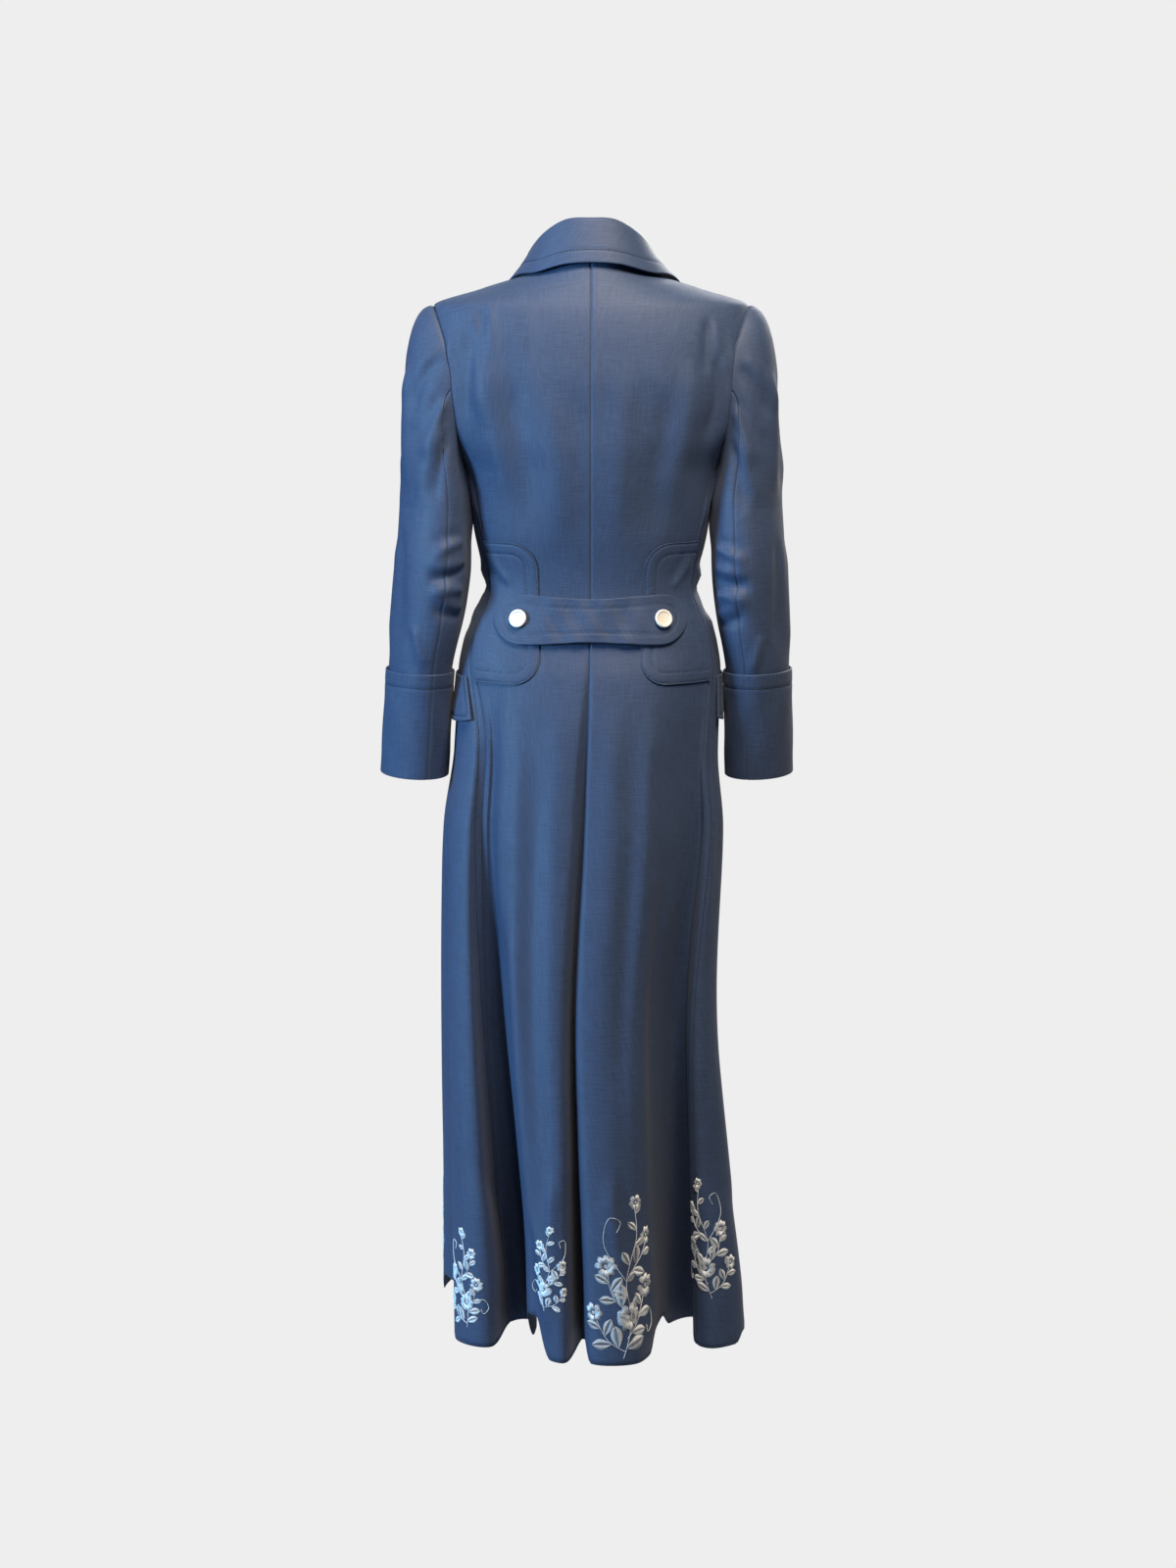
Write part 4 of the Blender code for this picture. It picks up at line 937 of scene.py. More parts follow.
def add_mesh(name, points, faces, material, weave=None):
    """A smooth-shaded object of the scene, with its weave laid out in metres."""
    data = bpy.data.meshes.new(name)
    data.from_pydata(points, [], faces)
    if weave is not None:
        layer = data.uv_layers.new(name="weave")
        corners = np.empty(len(data.loops), int)
        data.loops.foreach_get("vertex_index", corners)
        layer.data.foreach_set("uv", weave[corners].ravel())
    data.shade_smooth()
    data.materials.append(material)
    piece = bpy.data.objects.new(name, data)
    bpy.context.scene.collection.objects.link(piece)
    return piece


def wall_faces(rows, columns, closed):
    """Faces of a wall with an outer and an inner grid of points."""
    place = np.arange(rows * columns).reshape(rows, columns)
    if closed:
        place = np.concatenate([place, place[:, :1]], axis=1)
    inside = place + rows * columns

    def quads(a, b, c, d):
        return np.stack([a.ravel(), b.ravel(), c.ravel(), d.ravel()], axis=-1)

    faces = [
        quads(place[:-1, :-1], place[1:, :-1], place[1:, 1:], place[:-1, 1:]),
        quads(inside[:-1, 1:], inside[1:, 1:], inside[1:, :-1], inside[:-1, :-1]),
        quads(place[0, :-1], place[0, 1:], inside[0, 1:], inside[0, :-1]),
        quads(place[-1, :-1], inside[-1, :-1], inside[-1, 1:], place[-1, 1:]),
    ]
    if not closed:
        faces.append(quads(place[:-1, 0], inside[:-1, 0], inside[1:, 0], place[1:, 0]))
        faces.append(quads(place[:-1, -1], place[1:, -1], inside[1:, -1], inside[:-1, -1]))
    return np.concatenate(faces).tolist()


def add_cloth(node, middle, normals, thickness, material, free, closed=False, flat=None):
    """A cloth piece that stands for a CAD node, its free edges rounded."""
    away = from_edges(middle, free)
    bulge = np.sqrt(1 - ROUND_SHARE * np.clip(1 - away / ROUND, 0.0, 1.0) ** 2)
    half = normals * (bulge * thickness / 2)[..., None]
    weave = np.stack([arc_from(middle, 1), arc_from(middle, 0)], axis=-1).reshape(-1, 2)
    points = np.concatenate([(middle + half).reshape(-1, 3), (middle - half).reshape(-1, 3)])
    faces = wall_faces(*middle.shape[:2], closed)
    piece = add_mesh(f"{node}_cloth", points.tolist(), faces, material, np.concatenate([weave, weave]))
    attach(piece, "root")
    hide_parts(node)
    size, area = flat_size(flat if flat is not None else middle)
    return piece


# Stitches


def strand_mesh(name, paths, normals, half_width, half_height, material):
    """Three-sided threads as one mesh: each follows a short path and thins towards its ends."""
    count, steps = paths.shape[:2]
    along = unit(np.gradient(paths, axis=1))
    aside = unit(np.cross(along, normals))
    taper = np.sin(np.linspace(STRAND_TAPER, 1 - STRAND_TAPER, steps) * math.pi)[None, :, None]
    wide = aside * half_width * taper
    high = normals * half_height * taper
    rings = np.stack([paths + wide - high, paths + high, paths - wide - high], axis=2)
    place = np.arange(count * steps * 3).reshape(count, steps, 3)
    faces = place[:, 0].tolist() + place[:, -1, ::-1].tolist()
    for side in range(3):
        other = (side + 1) % 3
        corners = (place[:, :-1, side], place[:, 1:, side], place[:, 1:, other], place[:, :-1, other])
        faces += np.stack([c.ravel() for c in corners], axis=-1).tolist()
    piece = add_mesh(name, rings.reshape(-1, 3).tolist(), faces, material)
    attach(piece, "root")
    return piece


def resampled(path, normals, places):
    """Points and normals at distances along a path."""
    both = np.concatenate([path, normals], axis=-1)
    found = np.stack([np.interp(places, travelled(path), column) for column in both.T], axis=-1)
    return found[..., :3], unit(found[..., 3:])


def arched(heights, count):
    """How high a stitch stands at its points, from its ends to its middle."""
    return mix(heights, np.sin(np.linspace(0, math.pi, count)))[None, :, None]


def stitches_along(path, normals):
    """Stitch paths along a line on the cloth."""
    length = travelled(path)[-1]
    count = int(length // (STITCH_LENGTH + STITCH_GAP))
    starts = (np.arange(count) + 0.5) * length / count - STITCH_LENGTH / 2
    places = starts[:, None] + np.linspace(0, STITCH_LENGTH, STITCH_POINTS)
    points, facing = resampled(path, normals, places)
    return points + facing * STITCH_HEIGHT * arched(STITCH_ARCH, STITCH_POINTS), facing


def inset_path(surface, normals, edge, inset, trim=(0, 0)):
    """A line on the cloth's outside at a distance from one edge of its grid."""
    axis, end = EDGE_AXES[edge]
    away = arc_from(surface, axis, end)
    if axis == 0:
        surface, normals, away = surface.swapaxes(0, 1), normals.swapaxes(0, 1), away.T
    if end:
        surface, normals, away = surface[:, ::-1], normals[:, ::-1], away[:, ::-1]
    pick = range(trim[0], len(surface) - trim[1])
    both = np.concatenate([surface, normals], axis=-1)
    line = np.array([[np.interp(inset, away[r], both[r, :, k]) for k in range(6)] for r in pick])
    return line[:, :3], unit(line[:, 3:])


seams = {"paths": [], "normals": []}


def sew(path, normals):
    """Adds a line of stitches to the coat's topstitching."""
    points, facing = stitches_along(path, normals)
    seams["paths"].append(points)
    seams["normals"].append(facing)


def add_topstitching(material):
    """All topstitching as one piece."""
    paths = np.concatenate(seams["paths"])
    normals = np.concatenate(seams["normals"])
    piece = strand_mesh("topstitching", paths, normals, STITCH_WIDTH, STITCH_HEIGHT, material)


# Embroidery


def drawn(starts, ends):
    """Straight stitches of a flat drawing, as a few points each."""
    share = np.linspace(0, 1, SATIN_POINTS)[:, None]
    return starts[:, None] * (1 - share) + ends[:, None] * share


def heading(angle):
    return np.stack([np.cos(angle), np.sin(angle)], axis=-1)


def daisy_stitches(daisy, random):
    """Round-ended petals of stitches that spread from the middle, and a knotted eye."""
    centre = np.array([daisy.across, daisy.up])
    spread = np.linspace(-1, 1, PETAL_STITCHES)
    parts = []
    for petal in range(daisy.petals):
        turn = (petal + PETAL_JITTER * random.random()) * 2 * math.pi / daisy.petals
        way = heading(turn + spread * PETAL_SPREAD * math.pi / daisy.petals)
        reach = daisy.radius * (1 - PETAL_ROUND * spread**2)
        reach = reach * random.uniform(*PETAL_REACHES, PETAL_STITCHES)
        parts.append(drawn(centre + way * daisy.radius * PETAL_START, centre + way * reach[:, None]))
    eye = heading(np.linspace(0, 2 * math.pi, EYE_STITCHES + 1)[:-1]) * daisy.radius
    parts.append(drawn(centre + eye * EYE_REACH[0], centre + eye * EYE_REACH[1]))
    return parts


def leaf_stitches(base, angle, length):
    """A pointed leaf: slanted stitches on both sides of its midrib."""
    share = np.linspace(*LEAF_STITCHED, round(length / SATIN_PITCH))[:, None]
    along = heading(angle)
    aside = heading(angle + math.pi / 2)
    rib = base + along * share * length
    width = LEAF_WIDTH * length * np.sin(math.pi * share**LEAF_BELLY)
    tips = rib + along * LEAF_TIP * width
    sides = (aside, -aside)
    return [drawn(rib + side * RIB_HALF_WIDTH, tips + side * width) for side in sides]


def stem_stitches(corners):
    """A curved line of stitches laid end over end."""
    corners = np.array(corners)
    path = through(corners, np.linspace(0, len(corners) - 1, STEM_SAMPLES))
    length = travelled(path)
    starts = np.arange(0.0, length[-1] - STEM_PITCH, STEM_PITCH)[:, None]
    places = starts + np.linspace(0, STEM_OVERLAP, SATIN_POINTS) * STEM_PITCH
    return np.stack([np.interp(places, length, path[:, k]) for k in range(2)], axis=-1)


def spray_stitches(random):
    """All stitches of one spray in its flat drawing."""
    parts = []
    for corners, leaves in zip(STEMS, STEM_LEAVES):
        stem = stem_stitches(corners)
        parts.append(stem)
        for leaf in range(leaves):
            share = (leaf + LEAF_START) / leaves
            stitch = stem[min(round(share * len(stem)), len(stem) - 1)]
            rise = stitch[-1] - stitch[0]
            side = LEAF_SLANT if leaf % 2 else -LEAF_SLANT
            angle = math.atan2(rise[1], rise[0]) + side * random.uniform(*LEAF_TURNS)
            length = mix(LEAF_LENGTHS, share) * random.uniform(*LEAF_SIZES)
            parts += leaf_stitches(stitch[0], angle, length)
    parts += [stem_stitches(corners) for corners in TENDRILS]
    for daisy in DAISIES:
        parts += daisy_stitches(daisy, random)
    return np.concatenate(parts)


def on_skirt(spray, drawing):
    """Points and normals on the skirt for a spray's stitches, less any that would pass the hem."""
    turn = math.radians(spray.lean)
    across = drawing[..., 0] * (-spray.scale if spray.mirrored else spray.scale)
    up = drawing[..., 1] * spray.scale
    aside = across * math.cos(turn) + up * math.sin(turn)
    z = spray.z + up * math.cos(turn) - across * math.sin(turn)
    lines = np.linspace(spray.line - SPRAY_LINES, spray.line + SPRAY_LINES, SPRAY_SAMPLES)
    arc = travelled(skirt_point(lines, np.full_like(lines, spray.z)))
    arc = arc - np.interp(spray.line, lines, arc)
    line = np.interp(-aside, arc, lines)
    sewn = (z > hem_height(line) + SPRAY_MARGIN).all(axis=-1)
    return skirt_surface(line[sewn], z[sewn])


def add_embroidery(material):
    """Sprays of white flowers and leaves round the hem."""
    for number, spray in enumerate(SPRAYS, 1):
        drawing = spray_stitches(np.random.default_rng(number))
        points, normals = on_skirt(spray, drawing)
        points = points + normals * SATIN_LIFT * arched(SATIN_ARCH, SATIN_POINTS)
        strand_mesh(f"hem_spray_{number}", points, normals, SATIN_WIDTH, SATIN_LIFT, material)


# Pieces of the coat


def panel_grid(name, side, start, end):
    """Points, normals and creases of a body panel, from the hem up."""
    lines = start + spaced((end - start) * LINE_WIDTH, BODY_STEP) / LINE_WIDTH
    rise = np.linspace(0, 1, SKIRT_ROWS)[:, None]
    heights = mix((hem_height(lines), np.full_like(lines, BODICE_Z)), rise)
    across = np.broadcast_to(lines, heights.shape)
    skirt = skirt_point(across, heights)
    azimuth = hip("azimuth", lines)
    left_azimuth = azimuth if side == "left" else 360.0 - azimuth[::-1]
    bodice = on_side(BODICES[name](left_azimuth)[1:], side)
    raised = np.concatenate(
        [
            body_relief(hip("azimuth", across), heights),
            body_relief(azimuth_of(bodice), bodice[..., 2]),
        ]
    )
    points = np.concatenate([skirt, bodice])
    normals = np.concatenate([skirt_normal(across, heights), body_normal(bodice)])
    return points, normals, raised


Panel = namedtuple("Panel", "name side start end seams free stitched hangs_on")
SEWN = ("start", "end", "top")
HEM = ("bottom",)
PANELS = (
    Panel("back", "left", 0, BACK_SEAM, SEWN, HEM, (), "front_left"),
    Panel("back", "right", RIGHT_BACK_SEAM, FOLD_COUNT, SEWN, HEM, (), "front_right"),
    Panel("side", "left", BACK_SEAM, SIDE_SEAM, SEWN, HEM, ("start",), "back_left"),
    Panel("side", "right", RIGHT_SIDE_SEAM, RIGHT_BACK_SEAM, SEWN, HEM, ("end",), "back_right"),
    Panel(
        "front", "left", SIDE_SEAM, LEFT_LAP_END,
        ("start",), ("bottom", "end", "top"), ("end",), "back_left",
    ),
    Panel(
        "front", "right", RIGHT_LAP_END, RIGHT_SIDE_SEAM,
        ("end",), ("bottom", "start", "top"), ("start",), "back_right",
    ),
)


def add_body(cloth):
    """Back, side and front panels."""
    for panel in PANELS:
        points, normals, raised = panel_grid(panel.name, panel.side, panel.start, panel.end)
        plain = points
        raised = raised - seam_dip(from_edges(points, panel.seams))
        raised = raised - groove(from_edges(points, panel.stitched), SEAM_STITCH)
        if (panel.name, panel.side) == ("front", "left"):
            raised = raised - lap_tuck(points)
        points = lifted(points, normals, raised)
        for edge in panel.stitched:
            sew(*inset_path(points, normals, edge, SEAM_STITCH, SEAM_TRIM))
        middle = points - normals * CLOTH / 2
        add_cloth(
            f"{panel.name}_{panel.side}", middle, normals, CLOTH, cloth, panel.free,
            flat=plain,
        )


def arm_point(angle, z, side):
    """A point of the sleeve below the armhole, on the wearer's left."""
    turn = np.radians(angle)
    out = arm_ring("half_width", z) * np.cos(turn)
    deep = arm_ring("half_depth", z) * np.sin(turn)
    swing = ARM_SWING[side] * share_of(z, ARM_SWING_FROM_Z, CUFF_END_Z)
    x = arm_ring("centre_x", z) + swing + out * math.cos(ARM_TILT) - deep * math.sin(ARM_TILT)
    y = arm_ring("centre_y", z) + out * math.sin(ARM_TILT) + deep * math.cos(ARM_TILT)
    return np.stack(np.broadcast_arrays(x, y, z), axis=-1)


def sleeve_point(angle, down, side):
    """A point of the sleeve: down is 0 at the armhole, 1 at the upper arm and 2 at the cuff's end."""
    high = (1 + np.cos(np.radians(angle))) / 2
    edge = armhole(angle)
    foot = arm_point(angle, np.full_like(angle, BICEP_Z), side)
    way = np.stack([mix(CAP_OUT, high), np.zeros_like(high), -mix(CAP_DOWN, high)], axis=-1)
    lead = edge + unit(way) * mix(CAP_REACH, high)[..., None]
    hang = foot + mix(CAP_HANG, high)[..., None] * UP
    s = np.clip(down, 0.0, 1.0)[..., None]
    cap = edge * (1 - s) ** 3 + 3 * lead * s * (1 - s) ** 2 + 3 * hang * s**2 * (1 - s) + foot * s**3
    arm = arm_point(angle, mix((BICEP_Z, CUFF_END_Z), np.clip(down - 1, 0.0, 1.0)), side)
    return np.where(down[..., None] <= 1, cap, arm)


def sleeve_normal(angle, down, side):
    """Outward normals of the sleeve."""
    aside, along = 0.5, 0.01
    around = sleeve_point(angle - aside, down, side) - sleeve_point(angle + aside, down, side)
    above = sleeve_point(angle, np.maximum(down - along, 0.0), side)
    rise = above - sleeve_point(angle, np.minimum(down + along, 2.0), side)
    return unit(np.cross(rise, around))


def arm_share(z):
    """A sleeve height as the sleeve's own measure."""
    return 1 + (BICEP_Z - z) / (BICEP_Z - CUFF_END_Z)


def sleeve_cloth(angles, downs, side):
    """Points, normals and creases of a stretch of sleeve, its rows given from the bottom up."""
    angle, down = np.meshgrid(angles, downs)
    points = sleeve_point(angle, down, side)
    shift = RIGHT_SLEEVE_SHIFT if side == "right" else (0.0, 0.0)
    raised = relief(angle, points[..., 2], SLEEVE_CREASES, SLEEVE_DEGREE, shift)
    near_top, near_end = SLEEVE_CREASE_FADES
    raised = raised * ease(down / near_top) * ease((points[..., 2] - CUFF_END_Z) / near_end)
    return points, sleeve_normal(angle, down, side), raised


def armhole_allowance(angles):
    """The sleeve's seam allowance behind the body's cloth, and its normals. It fades at the shoulder."""
    hole = armhole(angles)
    out = body_normal(hole)
    spoke = hole + UP * ARMHOLE_DROP / 2
    spoke[:, 0] = 0.0
    spoke = unit(spoke - out * (spoke * out).sum(axis=-1, keepdims=True))
    behind = hole - out * ALLOWANCE_DEPTH
    reach = ARMHOLE_ALLOWANCE * ease(2 * (1 - np.cos(np.radians(angles))))[:, None]
    return np.stack([behind, behind + spoke * reach]), np.stack([out, out])


def add_sleeve(side, cloth):
    """Upper and under sleeve, joined by a seam at the back and one at the front."""
    low = spaced(BICEP_Z - SLEEVE_END_Z, SLEEVE_STEP)[:-1] + SLEEVE_END_Z
    downs = np.concatenate([arm_share(low), 1 - shares(CAP_LENGTH, SLEEVE_STEP)])
    spans = (
        ("sleeve_upper", SLEEVE_BACK_SEAM, SLEEVE_FRONT_SEAM - 360.0),
        ("sleeve_under", SLEEVE_FRONT_SEAM, SLEEVE_BACK_SEAM),
    )
    for name, start, end in spans:
        angles = start + (end - start) * shares(abs(start - end) * SLEEVE_DEGREE, SLEEVE_STEP)
        points, normals, raised = sleeve_cloth(angles, downs, side)
        plain = points
        raised = raised - seam_dip(from_edges(points, ("start", "end", "top")))
        points = lifted(points, normals, raised - CLOTH / 2)
        sewn, sewn_normals = armhole_allowance(angles)
        points = on_side(np.concatenate([points, sewn]), side)
        facing = on_side(np.concatenate([normals, sewn_normals]), side)
        add_cloth(
            f"{name}_{side}", points, facing, CLOTH, cloth, ("bottom",),
            flat=plain,
        )


def add_cuff(side, cloth):
    """A turned-back cuff round the end of the sleeve."""
    around = round(CUFF_GIRTH / SMALL_STEP)
    angles = SLEEVE_BACK_SEAM - np.arange(around) * 360.0 / around
    z = spaced(CUFF_TOP_Z - CUFF_END_Z, SMALL_STEP) + CUFF_END_Z
    angle, down = np.meshgrid(angles, arm_share(z))
    points = sleeve_point(angle, down, side)
    normals = sleeve_normal(angle, down, side)
    rise = share_of(z, CUFF_END_Z, CUFF_TOP_Z)[:, None]
    stand = CUFF_GAP + CUFF_FLARE * (1 - rise) + FIRM_CLOTH / 2
    fade = ease(rise / CUFF_WAVE_FADE) * ease((1 - rise) / CUFF_WAVE_FADE)
    stand = stand + waved(CUFF_WAVES, np.radians(angle), rise) * fade + CUFF_LIFT
    stand = stand - groove(from_edges(points, ("top",)), CUFF_STITCH)
    seam = np.abs(wrapped(angle - SLEEVE_BACK_SEAM, 360.0)) * SLEEVE_DEGREE
    stand = stand - CUFF_SEAM_SHARE * seam_dip(seam)
    middle = on_side(lifted(points, normals, stand), side)
    facing = on_side(normals, side)
    outside = middle + facing * FIRM_CLOTH / 2
    path, path_normals = inset_path(outside, facing, "top", CUFF_STITCH)
    sew(np.concatenate([path, path[:1]]), np.concatenate([path_normals, path_normals[:1]]))
    add_cloth(
        f"cuff_{side}", middle, facing, FIRM_CLOTH, cloth, ("bottom", "top"),
        closed=True,
    )


def collar_profile(neck, stand, edge):
    """The collar's section: up the stand, over the roll and down the fall."""
    out = unit((edge - neck) * LEVEL)
    top = neck - out * (stand * COLLAR_LEAN)[:, None] + UP * (stand - COLLAR_ROLL)[:, None]
    centre = top + out * COLLAR_ROLL
    rows = [mix((neck, top), share) for share in np.linspace(0, 1, COLLAR_STAND_ROWS)[:-1]]
    for turn in np.radians(np.linspace(180, COLLAR_ROLL_END, COLLAR_ROLL_ROWS)):
        rows.append(centre + COLLAR_ROLL * (math.cos(turn) * out + math.sin(turn) * UP))
    last = rows[-1]
    rows += [mix((last, edge), share) for share in shares(COLLAR_FALL, SMALL_STEP)[len(EDGE_STEPS):]]
    return np.array(rows)


def add_collar(cloth):
    """The collar, one cloth folded over round the neck."""
    half = np.array(COLLAR_STATIONS)
    other = half[:0:-1] * COLLAR_MIRROR
    half[:, 4] *= COLLAR_LEFT_REACH
    stations = np.concatenate([half[::-1], other[::-1]])
    last = len(stations) - 1
    smooth = through(stations, last * shares(COLLAR_LENGTH, SMALL_STEP))
    neck, stand, edge = smooth[:, 0:3], smooth[:, 3], smooth[:, 4:7]
    sewn_in = neck - unit(neck * LEVEL) * CLOTH / 2 - UP * NECK_ALLOWANCE
    points = np.concatenate([[sewn_in], collar_profile(neck, stand, edge)])
    normals = unit(np.cross(np.gradient(points, axis=0), np.gradient(points, axis=1)))
    away = from_edges(points, ("top", "start", "end"))
    points = lifted(points, normals, -groove(away, COLLAR_STITCH))
    outside = points + normals * FIRM_CLOTH / 2
    sew(*inset_path(outside, normals, "top", COLLAR_STITCH, COLLAR_TRIM))
    add_cloth(
        "collar", points, normals, FIRM_CLOTH, cloth, ("top", "start", "end"),
    )


def add_lapel(side, cloth):
    """A lapel folded back on the front. The under front's lapel stops at the other front's edge."""
    lowest = LAPEL_UNDER_Z if side == "left" else BREAK_Z + LAPEL_CLEARANCE
    z = spaced(LAPEL_GORGE_Z - lowest, SMALL_STEP) + lowest
    fold = roll_line_x(z)
    inside = (np.maximum(fold, -fold) if side == "left" else fold) + LAPEL_CLEARANCE
    tip = LAPEL_GORGE_WIDTH + roll_line_x(LAPEL_GORGE_Z)
    outside = np.interp(z, (BREAK_Z, LAPEL_PEAK[1], LAPEL_GORGE_Z), (-FRONT_LAP, LAPEL_PEAK[0], tip))
    outside = np.maximum(outside, inside + LAPEL_CLEARANCE)
    share = 1 - shares(LAPEL_WIDTH, SMALL_STEP)
    x = inside[:, None] + (outside - inside)[:, None] * share
    heights = np.broadcast_to(z[:, None], x.shape)
    points = np.stack([x, -depth_at(x, heights, True), heights], axis=-1)
    normals = body_normal(points)
    stand = mix(LAPEL_GAP, ease(2 * share)) + CLOTH / 2
    middle = lifted(points, normals, stand)
    away = from_edges(middle, ("start", "top"))
    middle = on_side(lifted(middle, normals, -groove(away, LAPEL_STITCH)), side)
    facing = on_side(normals, side)
    outer_edge = "start" if side == "left" else "end"
    sew(*inset_path(middle + facing * CLOTH / 2, facing, outer_edge, LAPEL_STITCH, LAPEL_TRIM))
    add_cloth(
        f"lapel_{side}", middle, facing, CLOTH, cloth, ALL_EDGES,
    )


def line_at(azimuth):
    """The fold-line count at an azimuth of the hip."""
    lines = np.linspace(-FOLD_COUNT / 2, FOLD_COUNT * 1.5, FOLD_LINE_SAMPLES)
    return np.interp(azimuth, hip("azimuth", lines), lines)


def azimuth_at(x, z, front=False):
    """The azimuth of a place in the front view."""
    share = (np.abs(x) / section("half_width", z)) ** (section("power", z) / 2)
    azimuth = np.degrees(np.arcsin(np.clip(share, 0.0, 1.0)))
    azimuth = 180.0 - azimuth if front else azimuth
    return np.where(x < 0, (360.0 if front else 0.0) - azimuth, azimuth)


def laid_on(azimuth, z):
    """Points and normals of the plain body where a piece lies on it."""
    line = line_at(azimuth)
    return skirt_point(line, z), skirt_normal(line, z)


def rounded(share):
    """Shares of a length as places from -1 to 1, closer together near both ends."""
    return np.sin((2 * share - 1) * math.pi / 2)


def belt_gap(x):
    """The half belt stands off most at the centre back."""
    return mix(BELT_GAP, 1 - (x / BELT_HALF_LENGTH) ** 2)


def belt_half_height(x, inset):
    """Half the belt's height, drawn in from its outline."""
    radius = BELT_END_HEIGHT / 2
    straight = BELT_HALF_LENGTH - radius
    past = np.clip(np.abs(x) - straight, 0.0, radius - inset)
    height = mix((BELT_MIDDLE_HEIGHT, BELT_END_HEIGHT), ease(np.abs(x) / straight)) / 2 - inset
    return height * np.sqrt(np.clip(1 - (past / (radius - inset)) ** 2, 0.0, 1.0))


def belt_line(inset):
    """The belt's outline in the back view, drawn in, as one loop."""
    x = (BELT_HALF_LENGTH - inset) * rounded(np.linspace(0, 1, BELT_LINE_POINTS))
    height = belt_half_height(x, inset)
    return np.concatenate([x, x[::-1]]), BELT_Z + np.concatenate([height, -height[::-1]])


def belt_waves(x, z):
    """Soft pulls along the belt between its buttons, and a dimple under each button."""
    inner = ease((BELT_WAVE_END - np.abs(x)) / BELT_WAVE_FADE)
    across = (np.abs(x) - BELT_BUTTON_X) / BELT_DIMPLE_RADII[0]
    up = (z - BELT_Z) / BELT_DIMPLE_RADII[1]
    return waved(BELT_WAVES, x, z) * inner - BELT_DIMPLE * np.exp(-(across**2) - up**2)


def near_line(points, path):
    """Each point's distance from a dense line of points."""
    flat = points.reshape(-1, 3)
    away = [np.linalg.norm(path - p, axis=-1).min() for p in flat]
    return np.array(away).reshape(points.shape[:2])


def add_half_belt(cloth):
    """The half belt, with round ends and a line of stitches inside its edge."""
    x = BELT_HALF_LENGTH * rounded(shares(BELT_LENGTH, SMALL_STEP))
    across = 2 * shares(BELT_END_HEIGHT, SMALL_STEP) - 1
    z = BELT_Z + np.maximum(belt_half_height(x, 0.0), BELT_TIP) * across[:, None]
    x = np.broadcast_to(x, z.shape)
    points, normals = laid_on(azimuth_at(x, z), z)
    stand = belt_gap(x) + FIRM_CLOTH / 2 + belt_waves(x, z)
    line_x, line_z = belt_line(BELT_STITCH)
    path, path_normals = laid_on(azimuth_at(line_x, line_z), line_z)
    line_stand = belt_gap(line_x) + FIRM_CLOTH + belt_waves(line_x, line_z)
    stand = stand - groove(near_line(points, path), 0.0)
    sew(lifted(path, path_normals, line_stand - GROOVE_DEPTH), path_normals)
    middle = lifted(points, normals, stand)
    add_cloth(
        "half_belt", middle, normals, FIRM_CLOTH, cloth, ALL_EDGES,
    )


def patch_edge(rise, inset):
    """Heights and places across of a patch's inner edge, drawn in from its outline."""
    z = mix((PATCH_END_Z + inset, PATCH_TOP_Z - inset), rise)
    near_end = np.minimum(z - PATCH_END_Z, PATCH_TOP_Z - z) - inset
    corner = PATCH_CORNER - inset
    from_corner = np.clip(corner - near_end, 0.0, corner)
    rounding = corner - np.sqrt(corner**2 - from_corner**2)
    return z, mix(PATCH_INNER_X, rise) + inset + rounding


def patch_line(inset):
    """A line round the patch from the seam over the top and back along the bottom."""
    rise = (1 + rounded(np.linspace(0, 1, PATCH_LINE_POINTS))) / 2
    z, x = patch_edge(rise, inset)
    azimuth = azimuth_at(x, z)
    ends = mix(PATCH_OUTER_AZIMUTHS, rise[[0, -1]]) - PATCH_LINE_STOP
    low = np.linspace(ends[0], azimuth[0], PATCH_END_POINTS)[:-1]
    high = np.linspace(azimuth[-1], ends[1], PATCH_END_POINTS)[1:]
    azimuth = np.concatenate([low, azimuth, high])
    return azimuth, np.concatenate([np.full_like(low, z[0]), z, np.full_like(high, z[-1])])


def add_belt_patch(side, cloth):
    """A shaped patch from the back seam to under the belt's end, with two round corners."""
    rise = (1 + rounded(shares(PATCH_LENGTH, SMALL_STEP))) / 2
    z, x = patch_edge(rise, 0.0)
    inside = azimuth_at(x, z)
    outside = mix(PATCH_OUTER_AZIMUTHS, rise)
    azimuth = inside[:, None] + (outside - inside)[:, None] * shares(PATCH_WIDTH, SMALL_STEP)
    line_azimuth, line_z = patch_line(PATCH_STITCH)
    edge_azimuth, edge_z = patch_line(PATCH_EDGE_STITCH)
    if side == "right":
        azimuth, line_azimuth, edge_azimuth = -azimuth[:, ::-1], -line_azimuth, -edge_azimuth
    heights = np.broadcast_to(z[:, None], azimuth.shape)
    points, normals = laid_on(azimuth, heights)
    stand = PATCH_GAP + PATCH_CLOTH / 2 + body_relief(azimuth, heights)
    for place, height in ((line_azimuth, line_z), (edge_azimuth, edge_z)):
        path, path_normals = laid_on(place, height)
        stand = stand - groove(near_line(points, path), 0.0)
        lift = body_relief(place, height) + PATCH_GAP + PATCH_CLOTH - GROOVE_DEPTH
        sew(lifted(path, path_normals, lift), path_normals)
    middle = lifted(points, normals, stand)
    free = ("bottom", "top", "start" if side == "left" else "end")
    add_cloth(f"belt_patch_{side}", middle, normals, PATCH_CLOTH, cloth, free)


